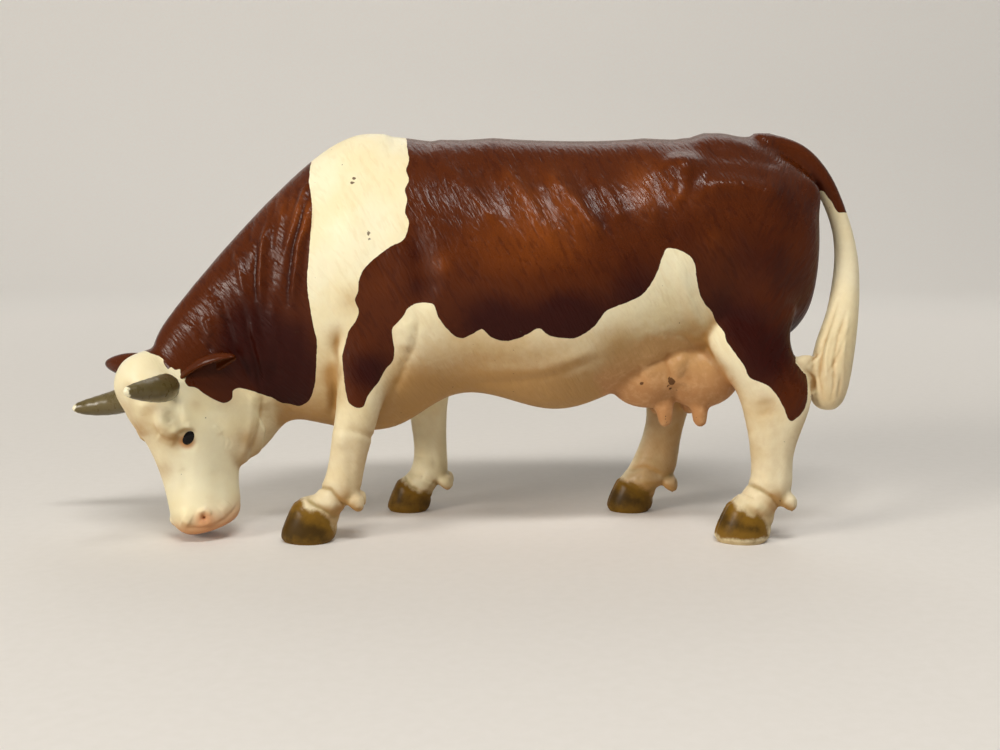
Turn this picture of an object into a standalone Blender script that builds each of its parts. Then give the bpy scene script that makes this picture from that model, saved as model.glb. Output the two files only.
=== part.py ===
"""Toy farm animal figure: a grazing dairy cow, moulded in soft PVC in twelve glued pieces.

The cow walks towards -X and grazes, its left side faces -Y, and the ground is z = 0. Coarse cages with
Subdivision Surface are laid over each other like clay, remeshed into one skin and smoothed. The skin is
then cut at the glue seams. The head and the lower legs sit on a spigot in a socket, and the horns, ears,
udder and tail in a pocket, with a gap to the piece that carries them.
"""

import math

import bmesh
import bpy
from mathutils import Matrix, Vector

# Driving dimensions, in metres
BACK_HEIGHT = 0.0724
TRUNK_LENGTH = 0.0940
BARREL_WIDTH = 0.0372
BELLY_CLEARANCE = 0.0206

NECK_REACH = 0.0270
NECK_WIDTH = 0.0205
HEAD_SWING = 0.0093

HEAD_LENGTH = 0.0332
HEAD_WIDTH = 0.0164
HEAD_DEPTH = 0.0160
MUZZLE_CLEARANCE = 0.0014
HEAD_YAW = math.radians(35)
HEAD_TILT = math.radians(14)
HEAD_ROLL = math.radians(13)

HORN_LENGTH = 0.0172
HORN_WIDTH = 0.0050
EAR_LENGTH = 0.0108
EAR_WIDTH = 0.0058
EAR_THICKNESS = 0.0017

STANCE_WIDTH = 0.0220
CANNON_DEPTH = 0.0068
CANNON_WIDTH = 0.0060
HOOF_LENGTH = 0.0104
HOOF_WIDTH = 0.0082
HOOF_HEIGHT = 0.0066
CLEFT_WIDTH = 0.0007
CLEFT_DEPTH = 0.0032
DEWCLAW_LENGTH = 0.0032

UDDER_LENGTH = 0.0246
UDDER_WIDTH = 0.0200
UDDER_DEPTH = 0.0150
TEAT_LENGTH = 0.0039
TEAT_WIDTH = 0.0031

TAIL_DROP = 0.0488
TAIL_STANDOFF = 0.0156
TAIL_WIDTH = 0.0039
TUFT_WIDTH = 0.0079
WEB_THICKNESS = 0.0026

SEAM_GAP = 0.0003
LEG_SPIGOT_WIDTH = 0.0036
LEG_SPIGOT_LENGTH = 0.0036
HEAD_SPIGOT_WIDTH = 0.0060
HEAD_SPIGOT_LENGTH = 0.0040
ROOM_MARGIN = 0.0030
CUT_OVERRUN = 0.0200
SKIN_CELL = 0.00080
FINE_CELL = 0.00045

# Facets kept of each remeshed surface
SKIN_FACET_SHARE = 0.088
TAIL_FACET_SHARE = 0.080
UDDER_FACET_SHARE = 0.052

# The trunk from rump to chest: top x, top z, bottom x, bottom z, half width, height of the widest place.
# x is counted from the point of the shoulder towards the tail in shares of TRUNK_LENGTH, z in shares of
# BACK_HEIGHT over the ground, and half width in shares of half of BARREL_WIDTH.
TRUNK_SHARES = (
    (1.000, 0.875, 1.000, 0.620, 0.36, 0.50),
    (0.972, 0.935, 0.975, 0.540, 0.58, 0.50),
    (0.910, 0.980, 0.910, 0.480, 0.72, 0.52),
    (0.830, 1.008, 0.830, 0.460, 0.80, 0.56),
    (0.745, 1.002, 0.745, 0.450, 0.88, 0.58),
    (0.660, 0.990, 0.660, 0.405, 0.94, 0.52),
    (0.585, 0.985, 0.585, 0.356, 1.00, 0.48),
    (0.490, 0.986, 0.490, 0.310, 1.05, 0.46),
    (0.385, 0.991, 0.385, 0.364, 1.03, 0.46),
    (0.285, 1.002, 0.285, 0.386, 0.95, 0.47),
    (0.190, 1.020, 0.190, 0.268, 0.86, 0.52),
    (0.110, 1.030, 0.100, 0.262, 0.76, 0.52),
    (0.035, 0.975, -0.005, 0.297, 0.68, 0.50),
)

# The neck from chest to poll, in the same order, with x counted towards the muzzle in shares of
# NECK_REACH, half width in shares of half of NECK_WIDTH, and last how far the ring has swung with the head.
NECK_SHARES = (
    (0.16, 0.880, 0.15, 0.280, 1.06, 0.52, 0.04),
    (0.43, 0.778, 0.25, 0.216, 0.92, 0.52, 0.14),
    (0.70, 0.662, 0.35, 0.176, 0.80, 0.52, 0.34),
    (0.93, 0.555, 0.46, 0.152, 0.72, 0.52, 0.56),
    (1.08, 0.458, 0.60, 0.190, 0.66, 0.52, 0.80),
)

# Muscle and bone under the hide, on both sides: x as above, z, distance out from the middle in shares of
# half of BARREL_WIDTH, then length, height and thickness in shares of BARREL_WIDTH, and lean in degrees.
MASS_SHARES = (
    (0.145, 0.660, 0.42, 0.42, 0.90, 0.190, -14),
    (0.130, 0.470, 0.46, 0.32, 0.52, 0.150, -8),
    (0.860, 0.700, 0.37, 0.46, 0.90, 0.190, 10),
    (0.862, 0.590, 0.42, 0.40, 0.52, 0.155, 16),
    (0.725, 0.915, 0.52, 0.24, 0.16, 0.090, 0),
    (0.960, 0.850, 0.27, 0.20, 0.22, 0.080, 0),
)

# Upper and lower limbs from top to ground: z in shares of BACK_HEIGHT, x in shares of TRUNK_LENGTH as
# above, depth and width in shares of CANNON_DEPTH and CANNON_WIDTH, and distance from the middle in
# shares of half of STANCE_WIDTH.
LEFT_FORELEG_SHARES = (
    (0.620, 0.140, 2.40, 1.10, 0.86),
    (0.520, 0.127, 2.28, 1.22, 0.90),
    (0.430, 0.123, 1.72, 1.26, 0.94),
    (0.340, 0.114, 1.24, 1.20, 0.98),
    (0.270, 0.102, 1.14, 1.10, 1.00),
    (0.205, 0.091, 1.02, 1.02, 1.00),
    (0.155, 0.083, 1.04, 1.06, 1.00),
    (0.118, 0.071, 1.24, 1.22, 1.00),
    (0.088, 0.048, 1.15, 1.16, 1.00),
    (0.060, 0.028, 1.12, 1.16, 1.00),
)
RIGHT_FORELEG_SHARES = (
    (0.620, 0.200, 2.40, 1.10, 0.86),
    (0.520, 0.215, 2.20, 1.22, 0.90),
    (0.430, 0.225, 1.75, 1.26, 0.94),
    (0.340, 0.232, 1.36, 1.18, 0.98),
    (0.270, 0.232, 1.12, 1.06, 1.00),
    (0.190, 0.236, 0.98, 0.98, 1.00),
    (0.140, 0.238, 1.02, 1.02, 1.00),
    (0.100, 0.232, 1.22, 1.18, 1.00),
    (0.074, 0.214, 1.10, 1.12, 1.00),
    (0.052, 0.204, 1.08, 1.12, 1.00),
)
LEFT_HINDLEG_SHARES = (
    (0.620, 0.875, 2.70, 1.40, 0.80),
    (0.530, 0.846, 2.28, 1.36, 0.86),
    (0.450, 0.866, 2.26, 1.26, 0.92),
    (0.380, 0.910, 2.14, 1.16, 0.96),
    (0.310, 0.908, 1.70, 1.10, 1.00),
    (0.240, 0.904, 1.22, 1.02, 1.00),
    (0.195, 0.905, 1.08, 1.00, 1.00),
    (0.155, 0.905, 1.16, 1.10, 1.00),
    (0.120, 0.895, 1.32, 1.24, 1.00),
    (0.088, 0.874, 1.20, 1.20, 1.00),
    (0.060, 0.862, 1.20, 1.20, 1.00),
)
RIGHT_HINDLEG_SHARES = (
    (0.640, 0.790, 3.00, 1.40, 0.80),
    (0.540, 0.740, 2.75, 1.36, 0.84),
    (0.450, 0.716, 2.20, 1.26, 0.90),
    (0.380, 0.722, 1.72, 1.16, 0.94),
    (0.310, 0.738, 1.36, 1.08, 0.98),
    (0.235, 0.728, 1.13, 1.02, 1.00),
    (0.180, 0.718, 1.22, 1.02, 1.00),
    (0.130, 0.708, 1.42, 1.12, 1.00),
    (0.095, 0.696, 1.52, 1.20, 1.00),
    (0.070, 0.672, 1.12, 1.14, 1.00),
    (0.050, 0.664, 1.08, 1.14, 1.00),
)

# Hoof rings from coronet to sole: height in shares of HOOF_HEIGHT, toe and heel in shares of
# HOOF_LENGTH from the hoof's middle, half width in shares of half of HOOF_WIDTH.
HOOF_SHARES = (
    (1.22, -0.26, 0.46, 0.62),
    (0.96, -0.36, 0.52, 0.84),
    (0.62, -0.46, 0.52, 0.96),
    (0.26, -0.56, 0.48, 1.03),
    (-0.14, -0.58, 0.42, 1.02),
)
# Where each hoof stands, in shares of TRUNK_LENGTH, and its size against the largest
HOOF_PLACE_SHARES = {
    "left_foreleg": (0.018, 1.00),
    "right_foreleg": (0.194, 0.86),
    "left_hindleg": (0.855, 1.00),
    "right_hindleg": (0.661, 0.90),
}

# The head along its axis: distance from the poll in shares of HEAD_LENGTH, half width in shares of half
# of HEAD_WIDTH, then face line and jaw line in shares of HEAD_DEPTH off the plane of the face.
HEAD_SHARES = (
    (-0.130, 0.36, -0.06, -0.46),
    (-0.088, 0.64, 0.09, -0.58),
    (0.010, 0.92, 0.23, -0.70),
    (0.140, 1.00, 0.18, -0.82),
    (0.270, 1.15, 0.10, -0.97),
    (0.390, 1.02, 0.06, -1.06),
    (0.500, 0.86, 0.05, -1.02),
    (0.610, 0.72, 0.06, -0.88),
    (0.715, 0.69, 0.09, -0.77),
    (0.805, 0.77, 0.12, -0.73),
    (0.885, 0.75, 0.06, -0.67),
    (0.925, 0.56, -0.08, -0.54),
)
MUZZLE_END_SHARE = 0.885
# How far before the chest the poll lies, in shares of NECK_REACH
POLL_REACH_SHARE = 1.125
# The rims over the eyes and the swell of the nostrils: along, out, off the face, then size in shares of
# HEAD_WIDTH, and what a rim keeps of that size along, across and off the face
BROW_SHARES = ((0.275, 0.80, -0.12, 0.29), (0.800, 0.42, -0.02, 0.17))
BROW_FORM_SHARES = (0.62, 0.46, 0.50)
# The glue seam behind the jaw from the poll to the throat: along and off the face
HEAD_SEAM_SHARES = ((-0.40, -0.55), (0.14, -0.84), (0.50, -1.13), (0.96, -0.95))
# The head's spigot: its seat on the seam, and the place inside the trunk that it points at
HEAD_SPIGOT_SHARES = (0.20, -0.88)
HEAD_SPIGOT_AIM_SHARES = (0.110, 0.640)
HORN_ROOT_SHARES = (0.105, 0.70, -0.22)
# Along the horn in shares of HORN_LENGTH: outwards, ahead and up
HORN_RUN_SHARES = (
    (0.0, 0.0, 0.0),
    (0.25, 0.03, 0.02),
    (0.52, 0.19, 0.02),
    (0.71, 0.41, 0.06),
    (0.78, 0.62, 0.12),
)
HORN_TAPER_SHARES = (0.84, 1.08, 1.00, 0.76, 0.34)
LEFT_EAR_ROOT_SHARES = (0.085, 0.84, -0.50)
RIGHT_EAR_ROOT_SHARES = (-0.045, 0.80, -0.42)
LEFT_EAR_POINT_SHARES = (-0.13, 0.80, -0.60)
RIGHT_EAR_POINT_SHARES = (-0.26, 0.76, 0.60)
# Along the ear: distance, half width, thickness
EAR_SHARES = (
    (-0.20, 0.42, 1.35),
    (0.02, 0.50, 1.30),
    (0.22, 0.86, 1.05),
    (0.48, 1.00, 0.90),
    (0.74, 0.78, 0.80),
    (0.93, 0.38, 0.66),
)

UDDER_PLACE_SHARES = (0.721, 0.423)
# The bag and its fore and hind quarters: along and out, height over the middle, then half sizes
BAG_SHARES = (0.0, 0.0, 0.10, 0.50, 0.48, 0.46)
QUARTER_SHARES = ((-0.20, 0.24, -0.06, 0.30, 0.27, 0.42), (0.20, 0.24, -0.06, 0.30, 0.27, 0.42))
TEAT_SHARES = ((-0.078, 0.30), (0.182, 0.30))
TEAT_ROOT_SHARE = -0.24
BAG_FLOOR_SHARE = -0.47
TEAT_TAPER_SHARES = (1.4, 1.15, 0.95, 0.74)

# The tail from its root: distance behind it in shares of TAIL_STANDOFF, drop in shares of TAIL_DROP,
# width in shares of TAIL_WIDTH down to the switch and of TUFT_WIDTH in it, and swing towards the left hock
# in shares of half of STANCE_WIDTH
TAIL_ROOT_SHARES = (0.890, 0.988)
TAIL_SHARES = (
    (-0.20, 0.060, 0.70, 0.00),
    (0.02, 0.012, 0.92, 0.00),
    (0.21, 0.008, 1.04, 0.00),
    (0.44, 0.040, 1.04, 0.00),
    (0.63, 0.098, 1.02, 0.02),
    (0.78, 0.172, 0.98, 0.06),
    (0.90, 0.268, 0.92, 0.12),
    (0.96, 0.340, 0.98, 0.19),
    (0.99, 0.420, 1.12, 0.27),
    (0.98, 0.500, 1.30, 0.36),
    (0.95, 0.578, 1.44, 0.46),
)
TUFT_SHARES = (
    (0.91, 0.650, 0.78, 0.55),
    (0.84, 0.730, 0.93, 0.63),
    (0.78, 0.815, 1.00, 0.70),
    (0.745, 0.885, 0.97, 0.75),
    (0.73, 0.945, 0.82, 0.77),
    (0.72, 0.985, 0.42, 0.77),
)
# The web from the switch to the hock in the same order, and its height in shares of TUFT_WIDTH
WEB_SHARES = ((0.72, 0.835, 0.76), (0.52, 0.825, 0.84), (0.30, 0.815, 0.94))
WEB_TAPER_SHARES = (0.80, 0.62, 0.72)

# Dewclaws: how far apart and behind the leg's middle, the way they point, and their taper
DEWCLAW_PLACE_SHARES = (0.27, 0.36)
DEWCLAW_RUN_SHARES = (0.45, 0.12, -0.88)
DEWCLAW_TAPER_SHARES = (0.62, 0.50, 0.22)

# The cleft of a hoof: where it starts before the hoof's middle, how far past its depth it runs, its
# height and its lean
CLEFT_SHARES = (0.62, 0.10, 0.92, 0.45)

# The height of the glue seams at knee and hock in shares of BACK_HEIGHT, and how near to the middle
# of the figure a leg's room reaches, in shares of half of STANCE_WIDTH
KNEE_SEAM_SHARE = 0.268
HOCK_SEAM_SHARE = 0.386
LEG_ROOM_SHARE = 0.40

HIDE_CREAM = (0.86, 0.79, 0.60, 1.0)
HIDE_BROWN = (0.21, 0.062, 0.022, 1.0)
HORN_OLIVE = (0.145, 0.135, 0.085, 1.0)
UDDER_TAN = (0.53, 0.27, 0.13, 1.0)

CHEST_X = -TRUNK_LENGTH / 2
RING_POINTS = 16


def clear_scene():
    for obj in list(bpy.data.objects):
        bpy.data.objects.remove(obj, do_unlink=True)


def new_collection(name):
    collection = bpy.data.collections.new(name)
    bpy.context.scene.collection.children.link(collection)
    return collection


def moulded_pvc(name, colour):
    material = bpy.data.materials.new(name)
    material.use_nodes = True
    shader = material.node_tree.nodes["Principled BSDF"]
    shader.inputs["Base Color"].default_value = colour
    shader.inputs["Roughness"].default_value = 0.42
    shader.inputs["Metallic"].default_value = 0.0
    material.diffuse_color = colour
    return material


def from_bmesh(name, bm):
    bmesh.ops.recalc_face_normals(bm, faces=bm.faces)
    mesh = bpy.data.meshes.new(name)
    bm.to_mesh(mesh)
    bm.free()
    obj = bpy.data.objects.new(name, mesh)
    bpy.context.scene.collection.objects.link(obj)
    return obj


def loft(name, rings):
    """A closed cage through rings of equal count, between sections that differ in shape and tilt."""
    bm = bmesh.new()
    rows = [[bm.verts.new(point) for point in ring] for ring in rings]
    count = len(rows[0])
    for row, following in zip(rows, rows[1:]):
        for k in range(count):
            bm.faces.new((row[k], row[(k + 1) % count], following[(k + 1) % count], following[k]))
    bm.faces.new(rows[0])
    bm.faces.new(rows[-1])
    return from_bmesh(name, bm)


def finished_mesh(obj):
    """Replaces the object's mesh by what its modifiers make of it."""
    graph = bpy.context.evaluated_depsgraph_get()
    mesh = bpy.data.meshes.new_from_object(obj.evaluated_get(graph))
    mesh.transform(obj.matrix_world)
    obj.modifiers.clear()
    obj.matrix_world = Matrix.Identity(4)
    obj.data = mesh
    return obj


def softened(obj, levels=2):
    soft = obj.modifiers.new("soft form", "SUBSURF")
    soft.levels = levels
    soft.render_levels = levels
    return finished_mesh(obj)


def ring_about(centre, across, up, half_width, half_up, half_down, count=RING_POINTS):
    """An egg-shaped section: half_up above the widest place and half_down below it."""
    points = []
    for k in range(count):
        angle = 2 * math.pi * k / count
        rise = math.sin(angle) * (half_up if math.sin(angle) > 0 else half_down)
        points.append(centre + across * (half_width * math.cos(angle)) + up * rise)
    return points


def station_ring(top, bottom, half_width, widest):
    """A section in the plane through its top point, its bottom point and the Y direction."""
    up = top - bottom
    height = up.length
    centre = bottom + up * widest
    above = height * (1 - widest)
    return ring_about(centre, Vector((0, 1, 0)), up / height, half_width, above, height * widest)


def trunk_point(x_share, z_share, y=0.0):
    return Vector((CHEST_X + x_share * TRUNK_LENGTH, y, z_share * BACK_HEIGHT))


def trunk_form():
    belly_lift = BELLY_CLEARANCE - min(row[3] for row in TRUNK_SHARES[5:9]) * BACK_HEIGHT
    rings = []
    for top_x, top_z, low_x, low_z, half, widest in TRUNK_SHARES:
        low = trunk_point(low_x, low_z) + Vector((0, 0, belly_lift))
        rings.append(station_ring(trunk_point(top_x, top_z), low, half * BARREL_WIDTH / 2, widest))
    for top_x, top_z, low_x, low_z, half, widest, swing in NECK_SHARES:
        aside = -swing * HEAD_SWING
        top = Vector((CHEST_X - top_x * NECK_REACH, aside, top_z * BACK_HEIGHT))
        low = Vector((CHEST_X - low_x * NECK_REACH, aside, low_z * BACK_HEIGHT))
        rings.append(station_ring(top, low, half * NECK_WIDTH / 2, widest))
    return softened(loft("trunk form", rings))


def mass_forms():
    forms = []
    for x, z, out, length, height, thickness, lean in MASS_SHARES:
        for side in (-1, 1):
            centre = trunk_point(x, z, side * out * BARREL_WIDTH / 2)
            bpy.ops.mesh.primitive_uv_sphere_add(segments=24, ring_count=16, radius=1)
            ball = bpy.context.object
            size = Matrix.Diagonal((*(BARREL_WIDTH * v / 2 for v in (length, thickness * 2, height)), 1))
            turn = Matrix.Rotation(math.radians(lean), 4, "Y")
            ball.data.transform(Matrix.Translation(centre) @ turn @ size)
            forms.append(ball)
    return forms


def limb_form(name, shares, side):
    rings = []
    for z, x, depth, width, out in shares:
        centre = trunk_point(x, z, side * out * STANCE_WIDTH / 2)
        half = depth * CANNON_DEPTH / 2
        breadth = width * CANNON_WIDTH / 2
        rings.append(ring_about(centre, Vector((0, 1, 0)), Vector((1, 0, 0)), breadth, half, half, 12))
    return softened(loft(name, rings))


def hoof_form(name, side):
    place, size = HOOF_PLACE_SHARES[name]
    middle = CHEST_X + place * TRUNK_LENGTH
    rings = []
    for height, toe, heel, half_width in HOOF_SHARES:
        ahead = -toe * HOOF_LENGTH * size
        behind = heel * HOOF_LENGTH * size
        centre = Vector((middle, side * STANCE_WIDTH / 2, height * HOOF_HEIGHT * size))
        half = half_width * HOOF_WIDTH * size / 2
        rings.append(ring_about(centre, Vector((0, 1, 0)), Vector((1, 0, 0)), half, behind, ahead, 12))
    return softened(loft(name + " hoof", rings))


def dewclaw_forms(name, shares, side):
    """Two blunt cones behind the fetlock, pointing down and back."""
    z, x, depth, width, out = shares[-3]
    apart, behind = DEWCLAW_PLACE_SHARES
    run_x, run_y, run_z = DEWCLAW_RUN_SHARES
    radii = [DEWCLAW_LENGTH * share for share in DEWCLAW_TAPER_SHARES]
    forms = []
    for k in (-1, 1):
        back = trunk_point(x, z, side * out * STANCE_WIDTH / 2 + k * CANNON_WIDTH * apart)
        back.x += depth * CANNON_DEPTH * behind
        tip = back + Vector((run_x, run_y * k, run_z)).normalized() * DEWCLAW_LENGTH
        forms.append(tapered(name + " dewclaw", [back, (back + tip) / 2, tip], radii))
    return forms


def tapered(name, path, radii, flat=1.0, count=10, levels=2):
    """A round cage along a path; its last ring is narrow and is closed by the cap."""
    rings = []
    start = (path[1] - path[0]).normalized()
    across = Vector((0, 1, 0)).cross(start)
    if across.length < 0.3:
        across = Vector((1, 0, 0)).cross(start)
    for k, (point, radius) in enumerate(zip(path, radii)):
        before = path[max(k - 1, 0)]
        after = path[min(k + 1, len(path) - 1)]
        along = (after - before).normalized()
        across = (across - along * across.dot(along)).normalized()
        rings.append(ring_about(point, along.cross(across), across, radius * flat, radius, radius, count))
    return softened(loft(name, rings), levels)


def head_axes():
    """The head's place: its poll, and unit vectors to the muzzle, to the left and out of the forehead."""
    left = Vector((math.sin(HEAD_YAW), -math.cos(HEAD_YAW), 0))
    ahead = Vector((-math.cos(HEAD_YAW), -math.sin(HEAD_YAW), 0))
    down = Vector((0, 0, -1))
    along = down * math.cos(HEAD_TILT) - ahead * math.sin(HEAD_TILT)
    face = ahead * math.cos(HEAD_TILT) + down * math.sin(HEAD_TILT)
    roll = Matrix.Rotation(HEAD_ROLL, 3, face)
    if (roll @ left).z < 0:
        roll = Matrix.Rotation(-HEAD_ROLL, 3, face)
    along = roll @ along
    left = roll @ left
    poll_height = MUZZLE_CLEARANCE - along.z * MUZZLE_END_SHARE * HEAD_LENGTH
    poll = Vector((CHEST_X - NECK_REACH * POLL_REACH_SHARE, -HEAD_SWING, poll_height))
    return poll, along, left, face


def head_point(along_share, left_share, face_share):
    poll, along, left, face = head_axes()
    return (
        poll
        + along * (along_share * HEAD_LENGTH)
        + left * (left_share * HEAD_WIDTH / 2)
        + face * (face_share * HEAD_DEPTH)
    )


def head_form():
    left, face = head_axes()[2:]
    rings = []
    for distance, half, front, back in HEAD_SHARES:
        widest = 0.40 if distance < 0.3 else 0.46
        depth = (front - back) * HEAD_DEPTH
        centre = head_point(distance, 0.0, front) - face * (depth * widest)
        breadth = half * HEAD_WIDTH / 2
        rings.append(ring_about(centre, left, face, breadth, depth * widest, depth * (1 - widest)))
    return softened(loft("head form", rings))


def brow_forms():
    """The bony rims over the eyes and the swell of the nostrils."""
    forms = []
    along, left, face = head_axes()[1:]
    turn = Matrix((along, left, face)).transposed().to_4x4()
    for side in (-1, 1):
        for down, out, off, size in BROW_SHARES:
            bpy.ops.mesh.primitive_uv_sphere_add(segments=20, ring_count=12, radius=1)
            ball = bpy.context.object
            shape = Matrix.Diagonal((*(size * HEAD_WIDTH * share for share in BROW_FORM_SHARES), 1))
            ball.data.transform(Matrix.Translation(head_point(down, side * out, off)) @ turn @ shape)
            forms.append(ball)
    return forms


def joined(name, objects):
    """One object of all the meshes, which still cross each other."""
    bm = bmesh.new()
    for obj in objects:
        bm.from_mesh(obj.data)
        bpy.data.objects.remove(obj, do_unlink=True)
    return from_bmesh(name, bm)


def skinned(obj, cell, smooth_steps, facet_share):
    """Remeshes crossing shapes into one skin, smooths it and keeps a share of its facets."""
    remesh = obj.modifiers.new("one skin", "REMESH")
    remesh.mode = "VOXEL"
    remesh.voxel_size = cell
    smooth = obj.modifiers.new("smoothed", "SMOOTH")
    smooth.factor = 0.5
    smooth.iterations = smooth_steps
    thin = obj.modifiers.new("fewer facets", "DECIMATE")
    thin.ratio = facet_share
    return finished_mesh(obj)


def boolean(obj, other, operation, keep_other=False):
    cut = obj.modifiers.new(operation.lower(), "BOOLEAN")
    cut.operation = operation
    cut.object = other
    cut.solver = "EXACT"
    finished_mesh(obj)
    if not keep_other:
        bpy.data.objects.remove(other, do_unlink=True)
    return obj


def copied(obj, name):
    twin = obj.copy()
    twin.data = obj.data.copy()
    twin.name = name
    bpy.context.scene.collection.objects.link(twin)
    return twin


def without_crumbs(obj):
    """Keeps the largest of the object's loose bodies; a cut can leave slivers beside it."""
    bm = bmesh.new()
    bm.from_mesh(obj.data)
    bodies = []
    seen = set()
    for first in bm.verts:
        waiting = [first]
        body = set()
        while waiting:
            vert = waiting.pop()
            if vert not in seen:
                seen.add(vert)
                body.add(vert)
                waiting += [edge.other_vert(vert) for edge in vert.link_edges]
        bodies.append(body)
    keep = max(bodies, key=len)
    bmesh.ops.delete(bm, geom=[vert for vert in bm.verts if vert not in keep], context="VERTS")
    bm.to_mesh(obj.data)
    bm.free()
    return obj


def prism(name, outline, low, high, place):
    """An outline swept straight between two distances; place turns (u, v, w) into a point."""
    bm = bmesh.new()
    near = [bm.verts.new(place(u, v, low)) for u, v in outline]
    far = [bm.verts.new(place(u, v, high)) for u, v in outline]
    count = len(outline)
    bm.faces.new(near)
    bm.faces.new(far)
    for k in range(count):
        bm.faces.new((near[k], near[(k + 1) % count], far[(k + 1) % count], far[k]))
    return from_bmesh(name, bm)


def leg_cutter(name, shares, side, inset):
    """The room of one leg, from the ground up to its seam, drawn in by inset at the seam."""
    seam = KNEE_SEAM_SHARE if "fore" in name else HOCK_SEAM_SHARE
    place, size = HOOF_PLACE_SHARES[name]
    nearest = min(shares, key=lambda row: abs(row[0] - seam))
    limb = trunk_point(nearest[1], 0).x
    reach = nearest[2] * CANNON_DEPTH / 2 + ROOM_MARGIN
    hoof = CHEST_X + place * TRUNK_LENGTH
    back = max(trunk_point(row[1], 0).x + row[2] * CANNON_DEPTH / 2 for row in shares if row[0] < seam)
    back += DEWCLAW_LENGTH + ROOM_MARGIN
    ground = 0 if inset else -CUT_OVERRUN
    top = seam * BACK_HEIGHT - inset
    front = hoof - HOOF_LENGTH * size
    outline = (
        (front, ground),
        (back, ground),
        (back, DEWCLAW_LENGTH),
        (limb + reach, top),
        (limb - reach, top),
        (front, DEWCLAW_LENGTH),
    )
    low = LEG_ROOM_SHARE * STANCE_WIDTH / 2
    high = STANCE_WIDTH / 2 + CUT_OVERRUN
    return prism(name + " room", outline, low, high, lambda u, v, w: Vector((u, side * w, v)))


def head_cutter(inset):
    """The room of the head: everything before the seam behind the jaw."""
    poll, along, left, face = head_axes()
    seam = [(a * HEAD_LENGTH, f * HEAD_DEPTH + inset) for a, f in HEAD_SEAM_SHARES]
    outline = seam + [(seam[-1][0], CUT_OVERRUN), (seam[0][0], CUT_OVERRUN)]

    def place(u, v, w):
        return poll + along * u + face * v + left * w

    return prism("head room", outline, -CUT_OVERRUN, CUT_OVERRUN, place)


def spigot(seat, direction, width, length):
    """A round pin that starts half its length inside its own piece."""
    bpy.ops.mesh.primitive_cylinder_add(vertices=20, radius=width / 2, depth=length * 1.5)
    pin = bpy.context.object
    turn = direction.to_track_quat("Z", "Y").to_matrix().to_4x4()
    pin.data.transform(Matrix.Translation(seat + direction * (length / 4)) @ turn)
    return pin


def seat_on_spigot(piece, host, seat, direction, width, length):
    """Joins the pin to its piece and cuts its socket, a gap wider and deeper, into the host."""
    boolean(host, spigot(seat, direction, width + 2 * SEAM_GAP, length + 2 * SEAM_GAP), "DIFFERENCE")
    boolean(piece, spigot(seat, direction, width, length), "UNION")


def swollen(obj, name):
    """A copy that stands one seam gap proud of the piece all round."""
    twin = copied(obj, name)
    swell = twin.modifiers.new("gap", "DISPLACE")
    swell.strength = SEAM_GAP
    swell.mid_level = 0
    return finished_mesh(twin)


def seat_in_pocket(piece, *hosts):
    """Cuts the pocket for a piece's own root, one seam gap wider, into each host."""
    cutter = swollen(piece, "pocket")
    for host in hosts:
        boolean(host, cutter, "DIFFERENCE", keep_other=True)
    bpy.data.objects.remove(cutter, do_unlink=True)


def cleft_cutter(name, side):
    """The wedge between the two claws of a hoof, open at the toe."""
    place, size = HOOF_PLACE_SHARES[name]
    before, past, height, lean = CLEFT_SHARES
    toe = CHEST_X + place * TRUNK_LENGTH - HOOF_LENGTH * size * before
    reach = CLEFT_DEPTH + HOOF_LENGTH * size * past
    outline = ((toe, -CLEFT_WIDTH), (toe, CLEFT_WIDTH), (toe + reach, 0))
    return prism(
        "cleft",
        outline,
        -CUT_OVERRUN / 2,
        HOOF_HEIGHT * size * height,
        lambda u, v, w: Vector((u + w * lean, side * STANCE_WIDTH / 2 + v, w)),
    )


def horn_form(name, side):
    root = head_point(HORN_ROOT_SHARES[0], side * HORN_ROOT_SHARES[1], HORN_ROOT_SHARES[2])
    along, left, face = head_axes()[1:]
    path = [
        root + (left * side * out + face * ahead - along * up) * HORN_LENGTH
        for out, ahead, up in HORN_RUN_SHARES
    ]
    return tapered(name, path, [HORN_WIDTH / 2 * share for share in HORN_TAPER_SHARES], count=12, levels=1)


def ear_form(name, side, root_shares, point_shares):
    """A cupped leaf: its hollow looks down and ahead."""
    along, left, face = head_axes()[1:]
    root = head_point(root_shares[0], side * root_shares[1], root_shares[2])
    up, out, ahead = point_shares
    run = (along * up + left * side * out + face * ahead).normalized()
    across = run.cross(face).normalized()
    hollow = across.cross(run).normalized()
    rings = []
    for distance, half, thickness in EAR_SHARES:
        ring = []
        for k in range(12):
            angle = 2 * math.pi * k / 12
            aside = half * EAR_WIDTH / 2 * math.cos(angle)
            cup = (aside / EAR_WIDTH) ** 2 * EAR_THICKNESS * 3 * min(1, max(distance, 0) * 3)
            lift = thickness * EAR_THICKNESS / 2 * math.sin(angle) + cup
            ring.append(root + run * (distance * EAR_LENGTH) + across * aside + hollow * lift)
        rings.append(ring)
    return softened(loft(name, rings), 1)


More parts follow.
